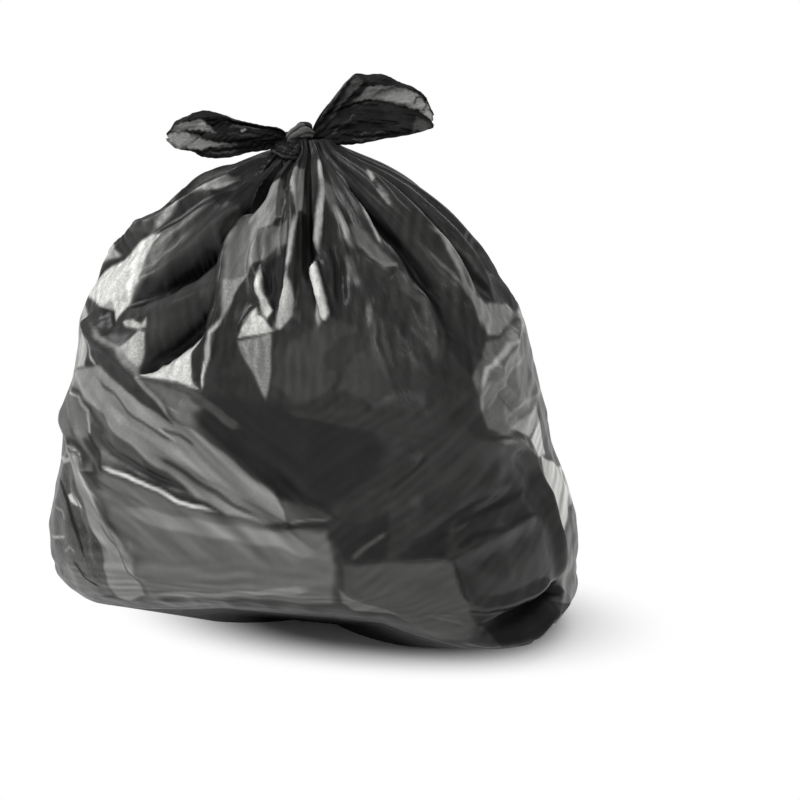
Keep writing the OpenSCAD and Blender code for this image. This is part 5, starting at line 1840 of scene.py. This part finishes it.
EARS = (
    Ear("ear_left", EarSide.LEFT, (
        (290, 142, 134, 136, 0.5), (283, 146, 128, 130, 0.5), (275, 147.5, 125.5, 127, 0.5),
        (265, 150, 124.3, 126, 1), (250, 151.5, 121, 123, 1), (238, 155, 118.5, 120, 1),
        (228, 157, 114, 117, 2), (215, 157.2, 110.5, 124, 6), (203, 155.5, 109.8, 135, 8),
        (192, 150.5, 113.5, 143, 6), (183, 149, 117.7, 146, 4), (177, 147, 121, 145, 3),
        (173, 143.5, 127, 141, 1.5), (169, 139, 132, 137, 0.5)), (
        LEFT_TIP_LIGHT,
        Patch(Tone.PALE, 0.2, 2.5, ((204, 118), (210, 124), (218, 130.5), (207, 129.5),
            (197, 128))),
        LEFT_MOUTH_LIGHT,
        Patch(Tone.PALE, 0.3, 3, ((169, 136), (177, 132), (188, 133), (198, 138), (190, 144),
            (180, 145), (172, 141))),
        Streak(Tone.DARK, 0, 2.4, ((184, 130.5), (200, 131.5), (215, 134), (232, 137))),
        Streak(Tone.DARK, 0, 2.6, ((186, 150), (192, 147.5), (199, 149)))), (
        LEFT_TIP_LIGHT,
        LEFT_MOUTH_LIGHT,
        Streak(Tone.DARK, 0, 2.4, ((196, 130.5), (206, 132), (218, 134.5), (232, 137))),
        Streak(Tone.SOFT, 0, 2.2, ((218, 146), (230, 144), (240, 143))),
        Streak(Tone.PALE, 0.3, 2.2, ((242, 128.3), (245, 128.5), (248, 128.8))),
        Patch(Tone.SOFT, 0.6, 3, ((217, 115), (223, 114), (229, 119), (224, 120), (219, 118))),
        Streak(Tone.WHITE, 0, 1.8, ((214, 112), (214.3, 115))),
        Streak(Tone.SOFT, 0, 2, ((230, 124), (248, 125.5), (266, 127.5))),
        Streak(Tone.SOFT, 0, 1.6, ((228, 131), (246, 133), (262, 134))),
        Streak(Tone.SOFT, 0, 1.8, ((205, 151), (222, 152), (240, 149)))),
        puff=7, wave=5, phase=0.7, pleats=5, pleat_depth=4.0),
    Ear("ear_right", EarSide.RIGHT, (
        (313, 141, 132, 137, 0.5), (318, 143, 121, 134, 0.5), (325, 143.3, 110, 127, 0.5),
        (335, 143.5, 98, 116, 1), (345, 143.5, 85, 108, 2), (352, 143.3, 78, 104, 2),
        (358, 142.8, 74, 102, 4), (370, 141, 75, 99.5, 10), (385, 138, 74.5, 99.8, 11),
        (400, 135.5, 82, 105, 5), (414, 132.7, 87, 108.5, 3), (425, 130, 95, 114, 2),
        (431, 128.3, 103, 118, 1), (435, 127, 112, 124, 0.5)), (
        Patch(Tone.SOFT, 0.3, 5, ((313, 136), (316, 122), (335, 97), (352, 76), (366, 84),
            (350, 104), (330, 124))),
        Patch(Tone.GREY, 0.2, 3, ((353, 95), (346, 103), (349, 92), (353, 84), (358, 77), (364, 80),
            (363, 87), (357, 94))),
        Patch(Tone.LIGHT, 0.2, 3, ((352, 104), (360, 97), (366, 90), (372, 86.5), (385, 86),
            (398, 87), (414, 90), (421, 96), (431, 108), (436, 118), (434, 123), (425, 114),
            (415, 109), (405, 106), (396, 105), (388, 102), (370, 100), (358, 102))),
        Patch(Tone.PALE, 0.2, 3, ((380, 98), (395, 93), (412, 91), (424, 99), (433, 112),
            (434, 121), (424, 112), (412, 105), (400, 103), (388, 100))),
        Patch(Tone.DARK, 0.3, 3, ((360, 75), (364, 80), (372, 84), (366, 87), (378, 86), (400, 87),
            (414, 89.5), (419, 91), (410, 84), (395, 78), (385, 73), (375, 72))),
        Streak(Tone.LIGHT, 0.2, 2, ((322, 117), (330, 106), (340, 93), (350, 80))),
        Streak(Tone.BLACK, 0, 2.6, ((322, 124), (334, 108), (345, 91), (354, 78))),
        Streak(Tone.BLACK, 0, 2.6, ((334, 120), (346, 104), (358, 92), (367, 83))),
        Streak(Tone.GREY, 0, 1.6, ((330, 122), (342, 105), (352, 92), (361, 80))),
        Streak(Tone.SOFT, 0, 1.8, ((374, 97), (385, 91), (398, 88.5))),
        Streak(Tone.SOFT, 0, 1.6, ((414, 104), (419, 98), (423, 93))),
        Streak(Tone.GREY, 0, 1.6, ((424, 112), (428, 104), (430, 99)))), (
        Patch(Tone.DARK, 0.3, 8, ((388, 110), (402, 112), (412, 118), (410, 126), (398, 128),
            (386, 122))),
        Patch(Tone.SOFT, 0.5, 6, ((418, 116), (428, 118), (434, 126), (426, 129), (414, 131),
            (414, 122))),
        Patch(Tone.DARK, 0.2, 5, ((350, 105), (370, 101), (392, 103), (406, 109), (398, 112),
            (374, 108), (354, 110))),
        Streak(Tone.SOFT, 0, 1.8, ((352, 138), (366, 137), (382, 136))),
        Streak(Tone.SOFT, 0, 1.4, ((360, 131), (374, 132), (390, 129))),
        Streak(Tone.SOFT, 0, 1.6, ((332, 133), (345, 122), (358, 112)))),
        puff=9, wave=5, phase=-1.0, pleats=6, pleat_depth=4.5),
)


def socket(group: bpy.types.NodeTree, name: str, way: str, kind: str,
           value: float | None = None) -> None:
    """Add a named socket to a node group.

    Args:
        group: The node group.
        name: The socket's name.
        way: INPUT or OUTPUT.
        kind: The socket's type, such as NodeSocketFloat.
        value: Its starting value, if it has one.
    """
    made = group.interface.new_socket(name, in_out=way, socket_type=kind)
    if value is not None:
        made.default_value = value


@dataclass
class Graph:
    """Short calls that add and join the nodes of a material or a group."""

    tree: bpy.types.NodeTree

    def add(self, kind: str, **settings: object) -> bpy.types.Node:
        """A new node with its settings."""
        node = self.tree.nodes.new(kind)
        for name, value in settings.items():
            setattr(node, name, value)
        return node

    def feed(self, target: bpy.types.NodeSocket, source: object) -> None:
        """Join a socket, or set a plain value on it."""
        if isinstance(source, bpy.types.NodeSocket):
            self.tree.links.new(source, target)
        else:
            target.default_value = source

    def maths(self, how: str, *values: object, clamp: bool = False) -> bpy.types.NodeSocket:
        """A Math node's result."""
        node = self.add("ShaderNodeMath", operation=how, use_clamp=clamp)
        for k, value in enumerate(values):
            self.feed(node.inputs[k], value)
        return node.outputs[0]

    def vector(self, how: str, *values: object) -> bpy.types.NodeSocket:
        """A Vector Math node's result."""
        node = self.add("ShaderNodeVectorMath", operation=how)
        for k, value in enumerate(values):
            slot = 3 if how == "SCALE" and k == 1 else k
            self.feed(node.inputs[slot], value)
        return node.outputs["Value" if how == "LENGTH" else "Vector"]

    def mix(self, factor: object, first: object, second: object) -> bpy.types.NodeSocket:
        """A mix of two colours."""
        node = self.add("ShaderNodeMix", data_type="RGBA")
        self.feed(node.inputs["Factor"], factor)
        self.feed(node.inputs["A"], first)
        self.feed(node.inputs["B"], second)
        return node.outputs["Result"]

    def remap(self, value: object, low: float, high: float, to_low: float = 0.0,
              to_high: float = 1.0, eased: bool = True) -> bpy.types.NodeSocket:
        """A value brought from one range to another and held there."""
        how = "SMOOTHSTEP" if eased else "LINEAR"
        node = self.add("ShaderNodeMapRange", interpolation_type=how)
        for k, item in enumerate((value, low, high, to_low, to_high)):
            self.feed(node.inputs[k], item)
        return node.outputs[0]

    def noise(self, place: object, scale: object, detail: float = 3.0,
              rough: float = 0.5) -> bpy.types.NodeSocket:
        """A Noise node's value."""
        node = self.add("ShaderNodeTexNoise")
        self.feed(node.inputs["Vector"], place)
        self.feed(node.inputs["Scale"], scale)
        self.feed(node.inputs["Detail"], detail)
        self.feed(node.inputs["Roughness"], rough)
        return node.outputs["Fac"]


def new_group(name: str) -> tuple[bpy.types.NodeTree, Graph]:
    """An empty shader node group and the calls that fill it."""
    tree = bpy.data.node_groups.new(name, "ShaderNodeTree")
    return tree, Graph(tree)


def streak_group() -> bpy.types.NodeTree:
    """Fine streaks that run out from the neck over the film, as pulled film has."""
    tree, graph = new_group("film streaks")
    socket(tree, "Fineness", "INPUT", "NodeSocketFloat", 40.0)
    socket(tree, "Run", "INPUT", "NodeSocketFloat", 7.0)
    socket(tree, "Streaks", "OUTPUT", "NodeSocketFloat")
    given = graph.add("NodeGroupInput")
    result = graph.add("NodeGroupOutput")
    place = graph.add("ShaderNodeTexCoord").outputs["Object"]
    from_neck = graph.vector("SUBTRACT", place, (-0.01, 0.0, 0.5))
    far = graph.vector("LENGTH", from_neck)
    way = graph.vector("NORMALIZE", from_neck)
    wide = graph.vector("SCALE", way, given.outputs["Fineness"])
    combine = graph.add("ShaderNodeCombineXYZ")
    graph.feed(combine.inputs["Z"], graph.maths("MULTIPLY", far, given.outputs["Run"]))
    spot = graph.vector("ADD", wide, combine.outputs[0])
    graph.feed(result.inputs["Streaks"], graph.noise(spot, 1.0, 4.0, 0.55))
    return tree


def crumple_group() -> bpy.types.NodeTree:
    """Small flat facets with sharp creases between them, as handled film has."""
    tree, graph = new_group("film crumple")
    socket(tree, "Scale", "INPUT", "NodeSocketFloat", 230.0)
    socket(tree, "Facets", "OUTPUT", "NodeSocketFloat")
    socket(tree, "Grain", "OUTPUT", "NodeSocketFloat")
    given = graph.add("NodeGroupInput")
    result = graph.add("NodeGroupOutput")
    place = graph.add("ShaderNodeTexCoord").outputs["Object"]
    bend = graph.add("ShaderNodeTexNoise")
    graph.feed(bend.inputs["Vector"], place)
    graph.feed(bend.inputs["Scale"], 18.0)
    shift = graph.vector("SCALE", bend.outputs["Color"], 0.02)
    spot = graph.vector("ADD", place, shift)
    total = None
    for factor, weight in ((1.0, 0.6), (2.3, 0.4)):
        cells = graph.add("ShaderNodeTexVoronoi", feature="F1", distance="EUCLIDEAN")
        graph.feed(cells.inputs["Vector"], spot)
        graph.feed(cells.inputs["Scale"],
                   graph.maths("MULTIPLY", given.outputs["Scale"], factor))
        part = graph.maths("MULTIPLY", cells.outputs["Distance"], weight)
        total = part if total is None else graph.maths("ADD", total, part)
    graph.feed(result.inputs["Facets"], total)
    graph.feed(result.inputs["Grain"], graph.noise(spot, 420.0, 3.0, 0.65))
    return tree


@dataclass(frozen=True)
class FilmFinish:
    """Thin glossy black polythene with painted light and shade, speckled where it is crumpled."""

    name: str
    tint: tuple[float, float, float] = (1.0, 1.0, 0.965)
    gloss: float = 0.32
    streak_depth: float = 0.0010
    facet_depth: float = 0.0007
    pulled_between: tuple[float, float] = (0.2, 0.32)

    def build(self, streaks: bpy.types.NodeTree,
              crumple: bpy.types.NodeTree) -> bpy.types.Material:
        """Make the material.

        Args:
            streaks: The shared group of pulled streaks.
            crumple: The shared group of crumpled facets.

        Returns:
            The material.
        """
        material = bpy.data.materials.new(self.name)
        material.use_nodes = True
        graph = Graph(material.node_tree)
        shader = material.node_tree.nodes["Principled BSDF"]
        marks = graph.add("ShaderNodeAttribute", attribute_name=MARKS)
        parts = graph.add("ShaderNodeSeparateColor")
        graph.feed(parts.inputs[0], marks.outputs["Color"])
        root, crumpled, calm = parts.outputs[0], parts.outputs[1], parts.outputs[2]
        pulled = graph.add("ShaderNodeGroup", node_tree=streaks)
        facets = graph.add("ShaderNodeGroup", node_tree=crumple)
        streak = pulled.outputs["Streaks"]
        facet = facets.outputs["Facets"]
        # The marks' tone paints highlights, reflections, light through thin film and shade into the
        # base colour; on crumpled film the grain breaks it up like glints.
        tone = graph.maths("MULTIPLY", root, root)
        grain = graph.remap(facets.outputs["Grain"], 0.3, 0.7, -0.26, 0.26, False)
        mottle = graph.maths("ADD", graph.maths("MULTIPLY", grain, crumpled), 1.0)
        pulled_from = graph.add("ShaderNodeSeparateXYZ")
        graph.feed(pulled_from.inputs[0], graph.add("ShaderNodeTexCoord").outputs["Object"])
        pull_share = graph.remap(pulled_from.outputs["Z"], *self.pulled_between, 0.2, 1.0)
        drawn = graph.remap(streak, 0.3, 0.75, -0.16, 0.2)
        drawn = graph.maths("ADD", graph.maths("MULTIPLY", drawn, pull_share), 1.0)
        tone = graph.maths("MULTIPLY", tone, graph.maths("MULTIPLY", mottle, drawn))
        base = graph.mix(tone, (0.0, 0.0, 0.0, 1.0), (*self.tint, 1.0))
        graph.feed(shader.inputs["Base Color"], base)
        rough = graph.remap(streak, 0.3, 0.7, Shine.TAUT.value, Shine.CREASED.value)
        shader.inputs["Specular IOR Level"].default_value = self.gloss
        quiet = graph.maths("MULTIPLY", calm, Shine.CALM.value - Shine.CREASED.value)
        graph.feed(shader.inputs["Roughness"], graph.maths("ADD", rough, quiet))
        pull = graph.add("ShaderNodeBump")
        graph.feed(pull.inputs["Strength"], graph.maths("MULTIPLY", pull_share, 0.7))
        graph.feed(pull.inputs["Distance"], self.streak_depth)
        graph.feed(pull.inputs["Height"], streak)
        crush = graph.add("ShaderNodeBump")
        graph.feed(crush.inputs["Strength"], 0.8)
        graph.feed(crush.inputs["Distance"], self.facet_depth)
        strength = graph.maths("ADD", graph.maths("MULTIPLY", crumpled, 0.9), 0.06)
        graph.feed(crush.inputs["Height"], graph.maths("MULTIPLY", facet, strength))
        graph.feed(crush.inputs["Normal"], pull.outputs["Normal"])
        graph.feed(shader.inputs["Normal"], crush.outputs["Normal"])
        return material


@dataclass(frozen=True)
class FloorFinish:
    """A white studio floor that goes over into a plain white ground away from the sack."""

    colour: tuple[float, float, float] = (0.94, 0.94, 0.94)
    sack_half: tuple[float, float] = (0.26, 0.19)
    centre: tuple[float, float] = (0.07, 0.025)
    near: float = 0.55
    far: float = 1.15

    def build(self) -> bpy.types.Material:
        """Make the material."""
        material = bpy.data.materials.new("studio floor")
        material.use_nodes = True
        graph = Graph(material.node_tree)
        shader = material.node_tree.nodes["Principled BSDF"]
        output = material.node_tree.nodes["Material Output"]
        place = graph.add("ShaderNodeTexCoord").outputs["Object"]
        grain = graph.noise(place, 60.0, 2.0)
        tint = graph.mix(grain, (*self.colour, 1), tuple(c * 0.985 for c in self.colour) + (1,))
        graph.feed(shader.inputs["Base Color"], tint)
        graph.feed(shader.inputs["Roughness"], Shine.FLOOR.value)
        path = graph.add("ShaderNodeLightPath")
        seen = graph.maths("MAXIMUM", path.outputs["Is Camera Ray"],
                           path.outputs["Is Glossy Ray"])
        seen = graph.maths("MAXIMUM", seen, path.outputs["Is Transmission Ray"])
        (half_x, half_y), (x, y) = self.sack_half, self.centre
        spread = graph.vector("MULTIPLY", graph.vector("SUBTRACT", place, (x, y, 0.0)),
                              (1 / half_x, 1 / half_y, 1.0))
        away = graph.remap(graph.vector("LENGTH", spread), self.near, self.far)
        white = graph.add("ShaderNodeEmission")
        mixed = graph.add("ShaderNodeMixShader")
        graph.feed(mixed.inputs[0], graph.maths("MULTIPLY", away, seen))
        graph.feed(mixed.inputs[1], shader.outputs[0])
        graph.feed(mixed.inputs[2], white.outputs[0])
        graph.feed(output.inputs["Surface"], mixed.outputs[0])
        return material


@dataclass(frozen=True)
class Lamp:
    """A soft box: where it stands, how wide it is and how strong."""

    name: str
    place: tuple[float, float, float]
    size: float
    power: float

    def build(self, target: Vector) -> None:
        """Add the lamp, turned to the target.

        Args:
            target: The point that it lights.
        """
        light = bpy.data.lights.new(self.name, "AREA")
        light.size = self.size
        light.energy = self.power
        lamp = bpy.data.objects.new(self.name, light)
        bpy.context.scene.collection.objects.link(lamp)
        lamp.location = self.place
        lamp.rotation_mode = "QUATERNION"
        lamp.rotation_quaternion = (target - Vector(self.place)).to_track_quat("-Z", "Y")


@dataclass
class Studio:
    """Floor, lamps, world and camera."""

    view: Viewpoint = field(default_factory=Viewpoint)
    frame_width: float = 0.8
    # How far right of the aim and below it the picture's centre lies, in metres
    centre_right: float = 0.088
    centre_down: float = 0.028
    sensor: float = 36.0
    floor_half: float = 6.0
    world_light: float = 0.62
    world_shine: float = 0.30
    lamps: tuple[Lamp, ...] = (
        Lamp("key", (-1.4, -0.9, 1.8), 1.0, 26.0),
        Lamp("fill", (1.3, -1.6, 1.3), 0.6, 7.0),
        Lamp("back", (0.3, 1.5, 1.7), 1.2, 10.0),
    )

    @staticmethod
    def axis() -> Vector:
        """The sack's axis on the floor, in the CAD frame."""
        mid = BodyForm().mid
        return Vector((-mid[0] * MM, -mid[1] * MM, 0.0))

    def aim(self) -> Vector:
        """The point that the camera and the lamps look at."""
        return self.axis() + Vector((0.0, 0.0, self.view.aim_height * MM))

    def camera(self) -> None:
        """The camera at the photograph's angle."""
        data = bpy.data.cameras.new("camera")
        data.sensor_width = self.sensor
        distance = self.view.distance * MM
        data.lens = self.sensor * distance / self.frame_width
        camera = bpy.data.objects.new("camera", data)
        bpy.context.scene.collection.objects.link(camera)
        right, back = (Vector(axis) for axis in self.view.axes())
        up = back.cross(right)
        spot = self.aim() + right * self.centre_right - up * self.centre_down
        camera.location = spot + back * distance
        camera.rotation_mode = "QUATERNION"
        camera.rotation_quaternion = back.to_track_quat("Z", "Y")
        bpy.context.scene.camera = camera

    def floor(self) -> None:
        """The floor."""
        h = self.floor_half
        mesh = bpy.data.meshes.new("floor")
        mesh.from_pydata([(-h, -h, 0), (h, -h, 0), (h, h, 0), (-h, h, 0)], [], [(0, 1, 2, 3)])
        mesh.materials.append(FloorFinish().build())
        floor = bpy.data.objects.new("floor", mesh)
        bpy.context.scene.collection.objects.link(floor)

    def world(self) -> None:
        """Even light from all round, seen as white."""
        world = bpy.data.worlds.new("studio")
        bpy.context.scene.world = world
        world.use_nodes = True
        graph = Graph(world.node_tree)
        back = world.node_tree.nodes["Background"]
        graph.feed(back.inputs["Color"], (1.0, 1.0, 1.0, 1.0))
        path = graph.add("ShaderNodeLightPath")
        seen = graph.maths("MAXIMUM", path.outputs["Is Camera Ray"],
                           path.outputs["Is Transmission Ray"])
        lit = graph.remap(path.outputs["Is Glossy Ray"], 0.0, 1.0, self.world_light,
                          self.world_shine, False)
        graph.feed(back.inputs["Strength"], graph.maths("MAXIMUM", lit, seen))

    def build(self) -> None:
        """Set up the whole studio."""
        bpy.context.scene.view_settings.view_transform = "Standard"
        self.world()
        self.floor()
        target = self.aim()
        for lamp in self.lamps:
            lamp.build(target)
        self.camera()


def main() -> None:
    """Build the sack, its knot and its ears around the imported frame."""
    logging.basicConfig(level=logging.INFO, format="%(message)s")
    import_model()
    studio = Studio()
    studio.build()
    streaks, crumple = streak_group(), crumple_group()
    film = FilmFinish("black film").build(streaks, crumple)
    knot = Knot()
    pieces = SackBody().build(film) + knot.build(film)
    pieces += [ear.build(knot.frame, film) for ear in EARS]
    for piece in pieces:
        log.info("piece %s: %d points", piece.name, len(piece.data.vertices))


if __name__ == "__main__":
    main()
